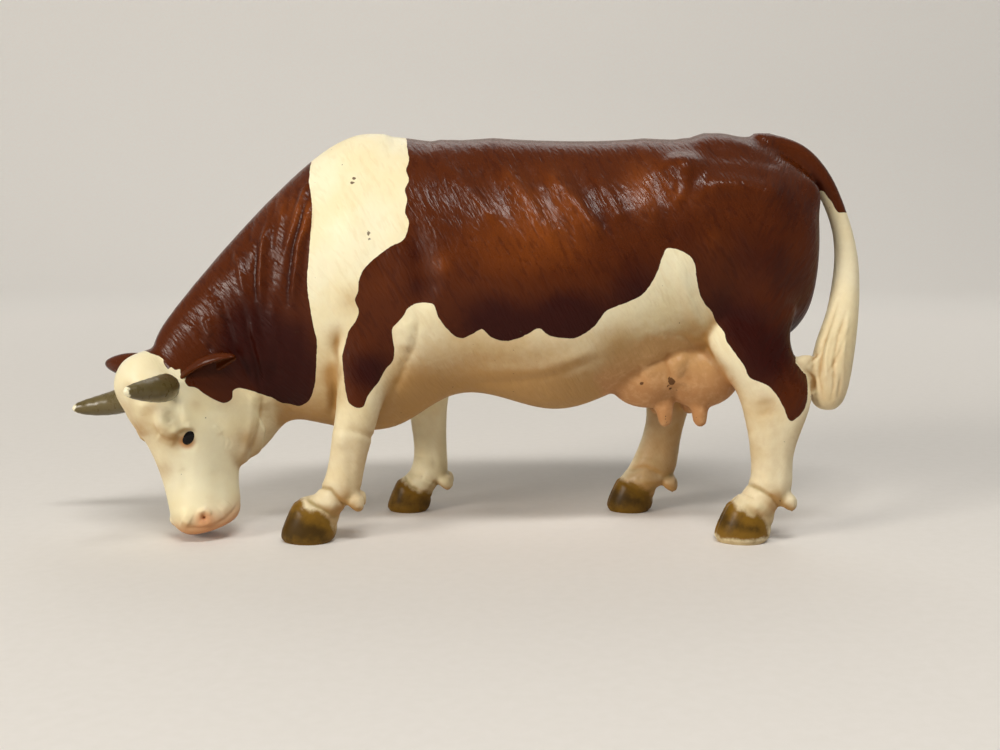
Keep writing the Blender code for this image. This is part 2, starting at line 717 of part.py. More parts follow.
def udder_form():
    """One bag with four quarters, each with its teat."""
    middle = trunk_point(*UDDER_PLACE_SHARES)

    def place(along, out, rise):
        return middle + Vector((along * UDDER_LENGTH, out * UDDER_WIDTH, rise * UDDER_DEPTH))

    forms = []
    balls = [BAG_SHARES]
    for along, out, rise, *half in QUARTER_SHARES:
        balls += [(along, side * out, rise, *half) for side in (-1, 1)]
    for along, out, rise, length, width, depth in balls:
        bpy.ops.mesh.primitive_uv_sphere_add(segments=24, ring_count=16, radius=1)
        ball = bpy.context.object
        size = Matrix.Diagonal((length * UDDER_LENGTH, width * UDDER_WIDTH, depth * UDDER_DEPTH, 1))
        ball.data.transform(Matrix.Translation(place(along, out, rise)) @ size)
        forms.append(ball)
    radii = [TEAT_WIDTH / 2 * share for share in TEAT_TAPER_SHARES]
    start = (TEAT_ROOT_SHARE - BAG_FLOOR_SHARE) * UDDER_DEPTH
    for along, out in TEAT_SHARES:
        for side in (-1, 1):
            root = place(along, side * out, TEAT_ROOT_SHARE)
            fall = Vector((0.05, side * 0.14, -1)).normalized()
            steps = (0, start, start + TEAT_LENGTH / 2, start + TEAT_LENGTH * 0.92)
            forms.append(tapered("teat", [root + fall * step for step in steps], radii))
    return joined("udder", forms)


def tail_point(behind, drop, swing):
    root = trunk_point(*TAIL_ROOT_SHARES)
    return root + Vector((behind * TAIL_STANDOFF, -swing * STANCE_WIDTH / 2, -drop * TAIL_DROP))


def tail_form():
    path, radii = [], []
    for width, table in ((TAIL_WIDTH, TAIL_SHARES), (TUFT_WIDTH, TUFT_SHARES)):
        for behind, drop, share, swing in table:
            path.append(tail_point(behind, drop, swing))
            radii.append(share * width / 2)
    web = [tail_point(*place) for place in WEB_SHARES]
    web_radii = [TUFT_WIDTH * share / 2 for share in WEB_TAPER_SHARES]
    flat = WEB_THICKNESS / (TUFT_WIDTH * min(WEB_TAPER_SHARES))
    bridge = tapered("web", web, web_radii, flat=flat)
    return joined("tail", [tapered("tail", path, radii, count=12), bridge])


def main():
    clear_scene()
    tables = {
        "left_foreleg": LEFT_FORELEG_SHARES,
        "right_foreleg": RIGHT_FORELEG_SHARES,
        "left_hindleg": LEFT_HINDLEG_SHARES,
        "right_hindleg": RIGHT_HINDLEG_SHARES,
    }
    sides = {name: -1 if name.startswith("left") else 1 for name in tables}
    body = skinned(joined("body", [trunk_form()] + mass_forms()), SKIN_CELL, 24, 1.0)
    forms = [body, head_form()] + brow_forms()
    for name, side in sides.items():
        forms.append(limb_form(name, tables[name], side))
        forms.append(hoof_form(name, side))
        forms += dewclaw_forms(name, tables[name], side)
    skin = skinned(joined("skin", forms), SKIN_CELL, 5, SKIN_FACET_SHARE)

    nodes = {"trunk": boolean(copied(skin, "trunk"), head_cutter(0), "DIFFERENCE")}
    nodes["head"] = boolean(copied(skin, "head"), head_cutter(SEAM_GAP), "INTERSECT")
    seat = head_point(HEAD_SPIGOT_SHARES[0], 0, HEAD_SPIGOT_SHARES[1])
    aim = (trunk_point(*HEAD_SPIGOT_AIM_SHARES) - seat).normalized()
    seat_on_spigot(nodes["head"], nodes["trunk"], seat, aim, HEAD_SPIGOT_WIDTH, HEAD_SPIGOT_LENGTH)
    for name, side in sides.items():
        boolean(nodes["trunk"], leg_cutter(name, tables[name], side, 0), "DIFFERENCE")
        leg = boolean(copied(skin, name), leg_cutter(name, tables[name], side, SEAM_GAP), "INTERSECT")
        nodes[name] = boolean(leg, cleft_cutter(name, side), "DIFFERENCE")
        seam = KNEE_SEAM_SHARE if "fore" in name else HOCK_SEAM_SHARE
        nearest = min(tables[name], key=lambda row: abs(row[0] - seam))
        seat = trunk_point(nearest[1], seam, side * nearest[4] * STANCE_WIDTH / 2)
        seat_on_spigot(leg, nodes["trunk"], seat, Vector((0, 0, 1)), LEG_SPIGOT_WIDTH, LEG_SPIGOT_LENGTH)
    bpy.data.objects.remove(skin, do_unlink=True)

    nodes["udder"] = skinned(udder_form(), FINE_CELL, 6, UDDER_FACET_SHARE)
    nodes["tail"] = skinned(tail_form(), FINE_CELL, 4, TAIL_FACET_SHARE)
    seat_in_pocket(nodes["udder"], nodes["trunk"], nodes["left_hindleg"], nodes["right_hindleg"])
    seat_in_pocket(nodes["tail"], nodes["trunk"], nodes["left_hindleg"])
    for name, side in (("left", 1), ("right", -1)):
        nodes[name + "_horn"] = horn_form(name + "_horn", side)
        seat_in_pocket(nodes[name + "_horn"], nodes["head"])
    nodes["left_ear"] = ear_form("left_ear", 1, LEFT_EAR_ROOT_SHARES, LEFT_EAR_POINT_SHARES)
    nodes["right_ear"] = ear_form("right_ear", -1, RIGHT_EAR_ROOT_SHARES, RIGHT_EAR_POINT_SHARES)
    for name in ("left_ear", "right_ear"):
        seat_in_pocket(nodes[name], nodes["head"], nodes["trunk"])

    figure = bpy.data.objects.new("figure", None)
    bpy.context.scene.collection.objects.link(figure)
    pieces = new_collection("grazing cow")
    colours = {"trunk": HIDE_BROWN, "udder": UDDER_TAN, "left_horn": HORN_OLIVE, "right_horn": HORN_OLIVE}
    colours.update({"left_ear": HIDE_BROWN, "right_ear": HIDE_BROWN})
    corners = []
    for name, obj in nodes.items():
        for collection in list(obj.users_collection):
            collection.objects.unlink(obj)
        pieces.objects.link(obj)
        obj.name = name
        obj.parent = figure
        without_crumbs(obj)
        obj.data.materials.clear()
        obj.data.materials.append(moulded_pvc(name + " PVC", colours.get(name, HIDE_CREAM)))
        obj.data.shade_smooth()
        corners += [vertex.co.copy() for vertex in obj.data.vertices]

    # The origin is on the ground under the middle of the whole figure
    low = [min(corner[k] for corner in corners) for k in range(3)]
    high = [max(corner[k] for corner in corners) for k in range(3)]
    figure.location = (-(low[0] + high[0]) / 2, -(low[1] + high[1]) / 2, -low[2])


main()
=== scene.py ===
"""Looks of the grazing toy cow: a solid figure of soft PVC, moulded in cream and painted by hand.

The hide is sculpted again at full detail from the same tables as the frame: cages laid over each other,
one voxel skin, and then folds, ribs, sockets and creases moved in and out along the surface. The skin is
parted at the glue seams, so each node of the frame has its own finished piece. What the photograph shows
of the near side is given in pixels of its 1000 by 750 frame, looked up through the camera's own place.
The far side has its own coat, read through the camera's mirror image behind the figure.
"""

import math

import bmesh
import bpy
import numpy as np
from mathutils import Matrix, Vector


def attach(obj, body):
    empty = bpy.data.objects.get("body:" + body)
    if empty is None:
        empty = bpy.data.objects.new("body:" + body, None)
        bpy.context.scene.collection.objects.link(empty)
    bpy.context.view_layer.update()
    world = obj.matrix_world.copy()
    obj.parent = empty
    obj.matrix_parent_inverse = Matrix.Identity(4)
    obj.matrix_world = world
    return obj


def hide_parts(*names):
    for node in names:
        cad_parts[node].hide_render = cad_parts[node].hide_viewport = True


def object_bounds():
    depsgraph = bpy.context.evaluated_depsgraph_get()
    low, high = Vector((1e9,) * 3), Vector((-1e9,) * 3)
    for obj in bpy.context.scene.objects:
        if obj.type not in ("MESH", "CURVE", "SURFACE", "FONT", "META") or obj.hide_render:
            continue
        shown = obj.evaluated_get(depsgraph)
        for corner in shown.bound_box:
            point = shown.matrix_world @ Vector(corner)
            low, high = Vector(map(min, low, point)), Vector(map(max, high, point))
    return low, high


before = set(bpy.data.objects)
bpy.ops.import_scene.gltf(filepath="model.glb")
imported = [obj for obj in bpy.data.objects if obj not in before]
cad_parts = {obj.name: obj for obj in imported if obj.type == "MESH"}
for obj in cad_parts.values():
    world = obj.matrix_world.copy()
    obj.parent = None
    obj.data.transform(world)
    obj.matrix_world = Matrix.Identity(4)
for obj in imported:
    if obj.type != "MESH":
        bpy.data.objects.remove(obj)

CAD_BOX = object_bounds()

# Sizes, in metres

MM = 0.001
BACK_HEIGHT = 0.0724
TRUNK_LENGTH = 0.0940
BARREL_WIDTH = 0.0372
BELLY_CLEARANCE = 0.0206
NECK_REACH = 0.0270
NECK_WIDTH = 0.0205
HEAD_SWING = 0.0093
HEAD_LENGTH = 0.0332
HEAD_WIDTH = 0.0164
HEAD_DEPTH = 0.0160
MUZZLE_CLEARANCE = 0.0014
HEAD_YAW = math.radians(35)
HEAD_TILT = math.radians(14)
HEAD_ROLL = math.radians(13)
HORN_LENGTH = 0.0172
HORN_WIDTH = 0.0050
EAR_LENGTH = 0.0108
STANCE_WIDTH = 0.0220
CANNON_DEPTH = 0.0068
CANNON_WIDTH = 0.0060
HOOF_LENGTH = 0.0104
HOOF_WIDTH = 0.0082
HOOF_HEIGHT = 0.0066
DEWCLAW_LENGTH = 0.0032
UDDER_LENGTH = 0.0246
UDDER_WIDTH = 0.0200
UDDER_DEPTH = 0.0150
TEAT_LENGTH = 0.0039
TEAT_WIDTH = 0.0031
TAIL_DROP = 0.0488
TAIL_STANDOFF = 0.0156
TAIL_WIDTH = 0.0039
TUFT_WIDTH = 0.0079
WEB_THICKNESS = 0.0026
ROOM_MARGIN = 0.0030

# Where rooms end along x: the head's, and what counts as legs behind it
HEAD_ROOM_END = -0.0500
LEGS_START = -0.0520
LOWER_LEG_TOP = 0.0300
LEG_FOLD_TOP = 0.0340

# Where the skin is split finer: off the face and along the head, and on the lower legs and the tail
FINE_OFF_FACE = -0.0195
FINE_HEAD_START = -0.0110
FINE_HEAD_END = 0.0400
FINE_LEG_TOP = 0.0120
FINE_LEG_START = -0.0540
FINE_TAIL_MARGIN_MM = -0.8

# The middle of the whole figure on the ground, seen from the middle of the trunk
ORIGIN_SHIFT = Vector((0.01901, 0.00518, 0.0))

# The photograph's camera in the trunk's own frame: where it stands, its dip and its focal length
CAMERA_PLACE = Vector((-0.0110, -0.2300, 0.0625))
CAMERA_DIP = math.radians(8.35)
FOCAL_PX = 1242.0
PHOTO_SIZE_PX = (1000, 750)
SENSOR_MM = 36.0

# The fineness of the voxel skins, and rounds of smoothing, which are fewer on the coarse skin
BODY_CELL = 0.0008
BODY_SMOOTH_STEPS = 24
SKIN_CELL = 0.00045
SKIN_SMOOTH_STEPS = 10
POLISH_ROUNDS = 8
FINE_HOLLOW_ROUNDS = 8
BROAD_HOLLOW_ROUNDS = 120
TAIL_BLEND_STEPS = 70
RING_POINTS = 16
LIMB_RING_POINTS = 12
FORM_LEVELS = 3
BALL_FINENESS = (48, 32)
BROW_FINENESS = (32, 20)

# The frame's tables of shares

# The trunk from rump to chest: top x, top z, low x, low z, half width, height of its widest place
TRUNK_SHARES = (
    (1.000, 0.875, 1.000, 0.620, 0.36, 0.50),
    (0.972, 0.935, 0.975, 0.540, 0.58, 0.50),
    (0.910, 0.980, 0.910, 0.480, 0.72, 0.52),
    (0.830, 1.008, 0.830, 0.460, 0.80, 0.56),
    (0.745, 1.002, 0.745, 0.450, 0.88, 0.58),
    (0.660, 0.990, 0.660, 0.405, 0.94, 0.52),
    (0.585, 0.985, 0.585, 0.356, 1.00, 0.48),
    (0.490, 0.986, 0.490, 0.310, 1.05, 0.46),
    (0.385, 0.991, 0.385, 0.364, 1.03, 0.46),
    (0.285, 1.002, 0.285, 0.386, 0.95, 0.47),
    (0.190, 1.020, 0.190, 0.268, 0.86, 0.52),
    (0.110, 1.030, 0.100, 0.262, 0.76, 0.52),
    (0.035, 0.975, -0.005, 0.297, 0.68, 0.50),
)
# The neck from chest to poll, in the same order, and last how far the ring swings with the head
NECK_SHARES = (
    (0.16, 0.880, 0.15, 0.280, 1.06, 0.52, 0.04),
    (0.43, 0.778, 0.25, 0.216, 0.92, 0.52, 0.14),
    (0.70, 0.662, 0.35, 0.176, 0.80, 0.52, 0.34),
    (0.93, 0.555, 0.46, 0.152, 0.72, 0.52, 0.56),
    (1.08, 0.458, 0.60, 0.190, 0.66, 0.52, 0.80),
)
# Muscle and bone on both sides: x, z, distance out, length, height, thickness, and lean in degrees
MASS_SHARES = (
    (0.145, 0.660, 0.42, 0.42, 0.90, 0.190, -14),
    (0.130, 0.470, 0.46, 0.32, 0.52, 0.150, -8),
    (0.860, 0.700, 0.37, 0.46, 0.90, 0.190, 10),
    (0.862, 0.590, 0.42, 0.40, 0.52, 0.155, 16),
    (0.725, 0.915, 0.52, 0.24, 0.16, 0.090, 0),
    (0.960, 0.850, 0.27, 0.20, 0.22, 0.080, 0),
)
# Limbs from top to ground: z, x, depth, width, distance from the middle
LEG_SHARES = {
    "left_foreleg": (
        (0.620, 0.140, 2.40, 1.10, 0.86),
        (0.520, 0.127, 2.28, 1.22, 0.90),
        (0.430, 0.123, 1.72, 1.26, 0.94),
        (0.340, 0.114, 1.24, 1.20, 0.98),
        (0.270, 0.102, 1.14, 1.10, 1.00),
        (0.205, 0.091, 1.02, 1.02, 1.00),
        (0.155, 0.083, 1.04, 1.06, 1.00),
        (0.118, 0.071, 1.24, 1.22, 1.00),
        (0.088, 0.048, 1.15, 1.16, 1.00),
        (0.060, 0.028, 1.12, 1.16, 1.00),
    ),
    "right_foreleg": (
        (0.620, 0.200, 2.40, 1.10, 0.86),
        (0.520, 0.215, 2.20, 1.22, 0.90),
        (0.430, 0.225, 1.75, 1.26, 0.94),
        (0.340, 0.232, 1.36, 1.18, 0.98),
        (0.270, 0.232, 1.12, 1.06, 1.00),
        (0.190, 0.236, 0.98, 0.98, 1.00),
        (0.140, 0.238, 1.02, 1.02, 1.00),
        (0.100, 0.232, 1.22, 1.18, 1.00),
        (0.074, 0.214, 1.10, 1.12, 1.00),
        (0.052, 0.204, 1.08, 1.12, 1.00),
    ),
    "left_hindleg": (
        (0.620, 0.875, 2.70, 1.40, 0.80),
        (0.530, 0.846, 2.28, 1.36, 0.86),
        (0.450, 0.866, 2.26, 1.26, 0.92),
        (0.380, 0.910, 2.14, 1.16, 0.96),
        (0.310, 0.908, 1.70, 1.10, 1.00),
        (0.240, 0.904, 1.22, 1.02, 1.00),
        (0.195, 0.905, 1.08, 1.00, 1.00),
        (0.155, 0.905, 1.16, 1.10, 1.00),
        (0.120, 0.895, 1.32, 1.24, 1.00),
        (0.088, 0.874, 1.20, 1.20, 1.00),
        (0.060, 0.862, 1.20, 1.20, 1.00),
    ),
    "right_hindleg": (
        (0.640, 0.790, 3.00, 1.40, 0.80),
        (0.540, 0.740, 2.75, 1.36, 0.84),
        (0.450, 0.716, 2.20, 1.26, 0.90),
        (0.380, 0.722, 1.72, 1.16, 0.94),
        (0.310, 0.738, 1.36, 1.08, 0.98),
        (0.235, 0.728, 1.13, 1.02, 1.00),
        (0.180, 0.718, 1.22, 1.02, 1.00),
        (0.130, 0.708, 1.42, 1.12, 1.00),
        (0.095, 0.696, 1.52, 1.20, 1.00),
        (0.070, 0.672, 1.12, 1.14, 1.00),
        (0.050, 0.664, 1.08, 1.14, 1.00),
    ),
}
# Hoof rings from coronet to sole: height, toe, heel, half width
HOOF_SHARES = (
    (1.22, -0.26, 0.46, 0.62),
    (0.96, -0.36, 0.52, 0.84),
    (0.62, -0.46, 0.52, 0.96),
    (0.26, -0.56, 0.48, 1.03),
    (-0.14, -0.58, 0.42, 1.02),
)
# Where each hoof stands, and its size against the largest
HOOF_PLACE_SHARES = {
    "left_foreleg": (0.018, 1.00),
    "right_foreleg": (0.194, 0.86),
    "left_hindleg": (0.855, 1.00),
    "right_hindleg": (0.661, 0.90),
}
# The head from poll to lips: distance, half width, face line, jaw line
HEAD_SHARES = (
    (-0.130, 0.36, -0.06, -0.46),
    (-0.088, 0.64, 0.09, -0.58),
    (0.010, 0.92, 0.23, -0.70),
    (0.140, 1.00, 0.18, -0.82),
    (0.270, 1.15, 0.10, -0.97),
    (0.390, 1.02, 0.06, -1.06),
    (0.500, 0.86, 0.05, -1.02),
    (0.610, 0.72, 0.06, -0.88),
    (0.715, 0.69, 0.09, -0.77),
    (0.805, 0.77, 0.12, -0.73),
    (0.885, 0.75, 0.06, -0.67),
    (0.925, 0.56, -0.08, -0.54),
)
MUZZLE_END_SHARE = 0.885
POLL_REACH_SHARE = 1.125
# The rims over the eyes and the swell of the nostrils: along, out, off the face, size
BROW_SHARES = ((0.275, 0.80, -0.12, 0.29), (0.800, 0.42, -0.02, 0.17))
BROW_FORM_SHARES = (0.62, 0.46, 0.50)
# The seam behind the jaw: along the head, off the face
HEAD_SEAM_SHARES = ((-0.40, -0.55), (0.14, -0.84), (0.50, -1.13), (0.96, -0.95))
HORN_ROOT_SHARES = (0.105, 0.70, -0.22)
# The run of a horn: out, ahead, up
HORN_RUN_SHARES = (
    (0.0, 0.0, 0.0),
    (0.25, 0.03, 0.02),
    (0.52, 0.19, 0.02),
    (0.71, 0.41, 0.06),
    (0.78, 0.62, 0.12),
)
HORN_TAPER_SHARES = (0.50, 1.06, 1.00, 0.76, 0.34)
# Ears, roots: along, out, off the face; then where they point: up, out, ahead
LEFT_EAR_ROOT_SHARES = (0.085, 0.84, -0.50)
RIGHT_EAR_ROOT_SHARES = (-0.045, 0.80, -0.42)
LEFT_EAR_POINT_SHARES = (-0.13, 0.80, -0.60)
RIGHT_EAR_POINT_SHARES = (-0.26, 0.76, 0.60)
# The udder: its middle in the trunk, then its bag and quarters: along, out, rise and half sizes
UDDER_PLACE_SHARES = (0.721, 0.423)
BAG_SHARES = (0.0, 0.0, 0.10, 0.50, 0.48, 0.46)
QUARTER_SHARES = ((-0.20, 0.24, -0.06, 0.30, 0.27, 0.42), (0.20, 0.24, -0.06, 0.30, 0.27, 0.42))
# Teats: along, out; then their roots and floor in the bag, their taper and their lean
TEAT_SHARES = ((-0.078, 0.30), (0.182, 0.30))
TEAT_ROOT_SHARE = -0.24
BAG_FLOOR_SHARE = -0.47
TEAT_TAPER_SHARES = (1.4, 1.15, 0.95, 0.74)
TEAT_LEAN_SHARES = (0.05, 0.14)
UDDER_ROOM_SHARE = 1.10
TAIL_ROOM_SHARE = 1.16
# The tail's root in the trunk, how far round it the skin runs in smoothly, and where its brown ends:
# lower on the outside than on the inside
TAIL_ROOT_SHARES = (0.890, 0.988)
TAIL_BLEND_REACH = 0.0085
TAIL_BROWN_SHARE = 0.258
TAIL_INNER_RISE_MM = 3.9
# The tail and its tuft from root to tip: behind, drop, width, swing; and the web: behind, drop, swing
TAIL_SHARES = (
    (-0.20, 0.060, 0.70, 0.00),
    (0.02, 0.012, 0.92, 0.00),
    (0.21, 0.008, 1.04, 0.00),
    (0.44, 0.040, 1.04, 0.00),
    (0.63, 0.098, 1.02, 0.02),
    (0.78, 0.172, 0.98, 0.06),
    (0.90, 0.268, 0.92, 0.12),
    (0.96, 0.340, 0.98, 0.19),
    (0.99, 0.420, 1.12, 0.27),
    (0.98, 0.500, 1.30, 0.36),
    (0.95, 0.578, 1.44, 0.46),
)
TUFT_SHARES = (
    (0.91, 0.650, 0.78, 0.55),
    (0.84, 0.730, 0.93, 0.63),
    (0.78, 0.815, 1.00, 0.70),
    (0.745, 0.885, 0.97, 0.75),
    (0.73, 0.945, 0.82, 0.77),
    (0.72, 0.985, 0.42, 0.77),
)
WEB_SHARES = ((0.72, 0.835, 0.76), (0.52, 0.825, 0.84), (0.30, 0.815, 0.94))
WEB_TAPER_SHARES = (0.80, 0.62, 0.72)
# Dewclaws: their place apart and behind, then their run and taper
DEWCLAW_PLACE_SHARES = (0.27, 0.36)
DEWCLAW_RUN_SHARES = (0.45, 0.12, -0.88)
DEWCLAW_TAPER_SHARES = (0.62, 0.50, 0.22)
KNEE_SEAM_SHARE = 0.268
HOCK_SEAM_SHARE = 0.386
LEG_ROOM_SHARE = 0.40

CHEST_X = -TRUNK_LENGTH / 2

# What the near side shows, in pixels

# Outlines of the brown paint. Stretches outside the figure only close the outline.
NECK_PATCH_PX = (
    (308, 150), (309, 180), (312, 205), (311, 230), (309, 255), (307, 280), (309, 300), (313, 325),
    (317, 341), (316, 370), (315, 383), (310, 399), (300, 406), (290, 404), (280, 402), (270, 397),
    (252, 391), (240, 388), (233, 391), (232, 399), (224, 403), (215, 400), (206, 395), (197, 388),
    (188, 386), (185, 381), (186, 377), (181, 374), (180, 369), (175, 370), (171, 367), (168, 369),
    (164, 363), (163, 359), (158, 356), (120, 330), (200, 150),
)
BARREL_PATCH_PX = (
    (410, 120), (407, 145), (409, 160), (406, 170), (409, 180), (405, 190), (407, 200), (405, 212),
    (409, 222), (406, 236), (400, 242), (390, 247), (375, 258), (363, 270), (359, 280), (358, 292),
    (355, 300), (359, 312), (355, 322), (349, 331), (345, 345), (342, 358), (344, 375), (346, 393),
    (349, 403), (357, 408), (364, 406), (368, 395), (378, 383), (385, 370), (393, 360), (394, 348),
    (392, 330), (398, 322), (404, 315), (408, 308), (417, 303), (433, 304), (438, 316), (446, 328),
    (455, 336), (463, 338), (473, 334), (482, 329), (491, 337), (503, 341), (514, 340), (526, 335),
    (539, 328), (548, 335), (562, 338), (575, 338), (590, 330), (600, 319), (606, 311), (615, 307),
    (630, 301), (642, 295), (652, 282), (660, 265), (665, 250), (672, 248), (681, 251), (690, 256),
    (695, 265), (697, 280), (700, 295), (706, 305), (712, 312), (716, 322), (724, 332), (727, 342),
    (735, 353), (744, 366), (750, 378), (765, 384), (775, 393), (782, 405), (790, 421), (797, 418),
    (805, 408), (808, 390), (806, 375), (801, 366), (840, 330), (880, 250), (880, 120),
)
# The far side's own coat: one saddle and a neck patch, read in the mirror image
FAR_NECK_PATCH_PX = (
    (308, 150), (303, 185), (290, 215), (296, 245), (284, 280), (290, 310), (280, 340), (262, 362),
    (246, 360), (236, 376), (214, 384), (196, 380), (184, 372), (170, 368), (158, 356), (120, 330),
    (200, 150),
)
FAR_BARREL_PATCH_PX = (
    (410, 120), (412, 150), (402, 175), (386, 200), (372, 232), (352, 252), (346, 285), (362, 312),
    (388, 318), (404, 300), (428, 292), (448, 305), (466, 322), (492, 318), (516, 300), (548, 306),
    (575, 292), (586, 262), (610, 248), (640, 262), (652, 298), (676, 318), (704, 322), (722, 344),
    (734, 372), (756, 386), (782, 392), (806, 380), (840, 330), (880, 250), (880, 120),
)

# Folds of the hide: depth in millimetres (a ridge is negative), half width in pixels, then its line
NEAR_FOLDS_PX = (
    # Ribs, the hip, the haunch and the flank
    (-0.60, 7.5, ((445, 165), (470, 192), (495, 225))),
    (-0.66, 8.0, ((500, 165), (528, 205), (555, 250))),
    (-0.66, 8.0, ((545, 170), (573, 203), (600, 240))),
    (-0.50, 7.0, ((595, 175), (609, 198), (622, 225))),
    (0.16, 6.0, ((472, 165), (500, 195), (525, 238))),
    (0.16, 6.0, ((522, 167), (551, 204), (578, 245))),
    (0.16, 6.5, ((570, 172), (591, 201), (611, 233))),
    (-0.45, 6.0, ((680, 158), (685, 170), (683, 186), (676, 204))),
    (0.60, 10.0, ((652, 172), (660, 195), (666, 222), (676, 250))),
    (0.25, 8.0, ((700, 196), (714, 204), (730, 214))),
    (0.40, 8.0, ((706, 154), (744, 155), (782, 163))),
    (-0.85, 10.0, ((702, 184), (742, 187), (782, 195))),
    (0.25, 9.0, ((722, 205), (736, 250), (744, 300), (742, 345))),
    (-0.25, 10.0, ((708, 228), (714, 262), (722, 300))),
    (0.20, 6.0, ((758, 270), (766, 320), (770, 360))),
    (-0.28, 6.0, ((676, 262), (684, 285), (692, 312), (706, 340))),
    (0.30, 4.5, ((700, 338), (716, 360), (732, 386))),
    (0.30, 4.0, ((776, 352), (783, 375), (790, 398))),
    # The shoulder, the elbow and the belly
    (0.62, 4.2, ((337, 330), (335, 352), (336, 380), (331, 420))),
    (0.50, 12.0, ((408, 225), (421, 255), (425, 285), (416, 312))),
    (-0.22, 8.0, ((440, 260), (446, 285), (438, 305))),
    (-0.35, 9.0, ((402, 322), (408, 335), (404, 350))),
    (0.35, 4.0, ((418, 318), (414, 345), (402, 372), (392, 395))),
    (0.22, 4.0, ((445, 383), (500, 384), (550, 378), (600, 359))),
    (-0.22, 6.0, ((470, 372), (540, 370), (595, 350))),
    (0.15, 3.0, ((322, 250), (330, 285), (330, 318))),
    # The neck: sharp folds with grooves between them
    (-0.80, 2.8, ((268, 224), (262, 250), (260, 280), (261, 306))),
    (-0.70, 3.0, ((308, 184), (299, 210), (292, 234), (286, 256))),
    (-0.85, 2.8, ((310, 203), (305, 228), (299, 245), (296, 270), (292, 304))),
    (-0.55, 2.8, ((236, 250), (240, 270), (246, 300))),
    (-0.40, 2.8, ((283, 206), (278, 232), (275, 256))),
    (-0.40, 3.2, ((189, 326), (197, 349))),
    (-0.40, 3.2, ((206, 318), (211, 337))),
    (-0.42, 3.4, ((214, 300), (223, 317))),
    (-0.35, 4.0, ((273, 300), (275, 330), (284, 372))),
    (-0.30, 3.0, ((250, 322), (258, 350), (268, 385))),
    (0.40, 3.0, ((258, 244), (255, 275), (257, 310), (266, 345))),
    (0.46, 3.0, ((222, 308), (232, 340), (243, 365), (254, 389))),
    (0.44, 2.8, ((242, 305), (250, 340), (257, 365), (261, 392))),
    (0.38, 3.4, ((196, 338), (212, 352))),
    (0.34, 4.0, ((278, 344), (275, 378))),
    (0.34, 3.2, ((299, 215), (292, 245), (289, 275), (286, 310))),
    (0.28, 5.0, ((281, 212), (275, 250), (272, 285))),
    (0.20, 4.0, ((302, 305), (302, 340), (300, 380))),
    (0.22, 1.8, ((246, 232), (252, 240))),
    (0.22, 1.8, ((232, 252), (228, 268))),
    (0.22, 1.8, ((252, 222), (247, 246))),
    (0.20, 1.8, ((276, 197), (271, 220))),
    (0.20, 1.8, ((290, 190), (286, 212))),
    (0.20, 1.8, ((208, 285), (213, 300))),
)
# The back's own line, which sags less than the cages and is fuller at the tail head
BACK_FOLDS_PX = (
    (-1.15, 18.0, ((460, 145), (520, 147), (577, 148), (640, 146), (676, 143))),
    (0.55, 14.0, ((384, 136), (412, 137), (440, 140))),
    (-1.10, 13.0, ((690, 140), (730, 138), (756, 139), (778, 142))),
)
# How deep the same folds are on the side that the photograph doesn't show
FAR_FOLD_SHARE = 0.55
THROAT_FOLDS_PX = (
    (0.55, 7.0, ((263, 404), (266, 420), (262, 438), (254, 456))),
    (0.16, 1.4, ((270, 402), (274, 418), (276, 431))),
    (0.16, 1.4, ((279, 403), (284, 413), (287, 423))),
    (0.14, 1.4, ((288, 405), (294, 413), (299, 418))),
)
# The head, where the camera sees it, and mirrored on its own middle plane
FACE_FOLDS_PX = (
    # Brow, lids and socket
    (-0.45, 3.8, ((172, 435), (176, 429), (183, 426), (192, 427))),
    (0.12, 3.0, ((179, 441), (184, 448), (192, 448), (197, 441))),
    (0.20, 2.6, ((178, 434), (186, 431), (196, 433))),
    (-0.22, 5.0, ((182, 400), (184, 412), (186, 423))),
    (0.30, 6.0, ((167, 412), (172, 423))),
    (-0.28, 5.0, ((158, 434), (168, 440), (176, 443))),
    (0.12, 7.0, ((197, 404), (198, 417), (200, 430))),
    (-0.25, 6.0, ((143, 400), (141, 416), (146, 436))),
    # The jaw's edge against the throat, and wrinkles on the cheek
    (-0.30, 4.0, ((252, 392), (251, 420), (247, 442), (240, 462))),
    (0.55, 3.4, ((263, 390), (262, 418), (257, 440), (249, 464))),
    (0.07, 1.6, ((222, 432), (226, 440), (224, 448))),
    (0.06, 1.6, ((229, 436), (231, 443), (228, 449))),
    (-0.16, 3.0, ((214, 425), (221, 434))),
    (0.16, 5.0, ((182, 468), (188, 492))),
    (0.14, 6.0, ((214, 470), (222, 492))),
    # Nostril, lips and the pads of the muzzle
    (0.90, 2.2, ((202, 519), (205, 517))),
    (-0.34, 2.4, ((198, 513), (205, 510), (212, 514))),
    (-0.20, 2.4, ((199, 525), (207, 525), (212, 520))),
    (0.28, 1.8, ((186, 528), (200, 529), (214, 526), (226, 519), (236, 508), (240, 500))),
    (-0.28, 7.0, ((182, 519), (190, 523))),
    (-0.30, 6.0, ((222, 512), (230, 504))),
)
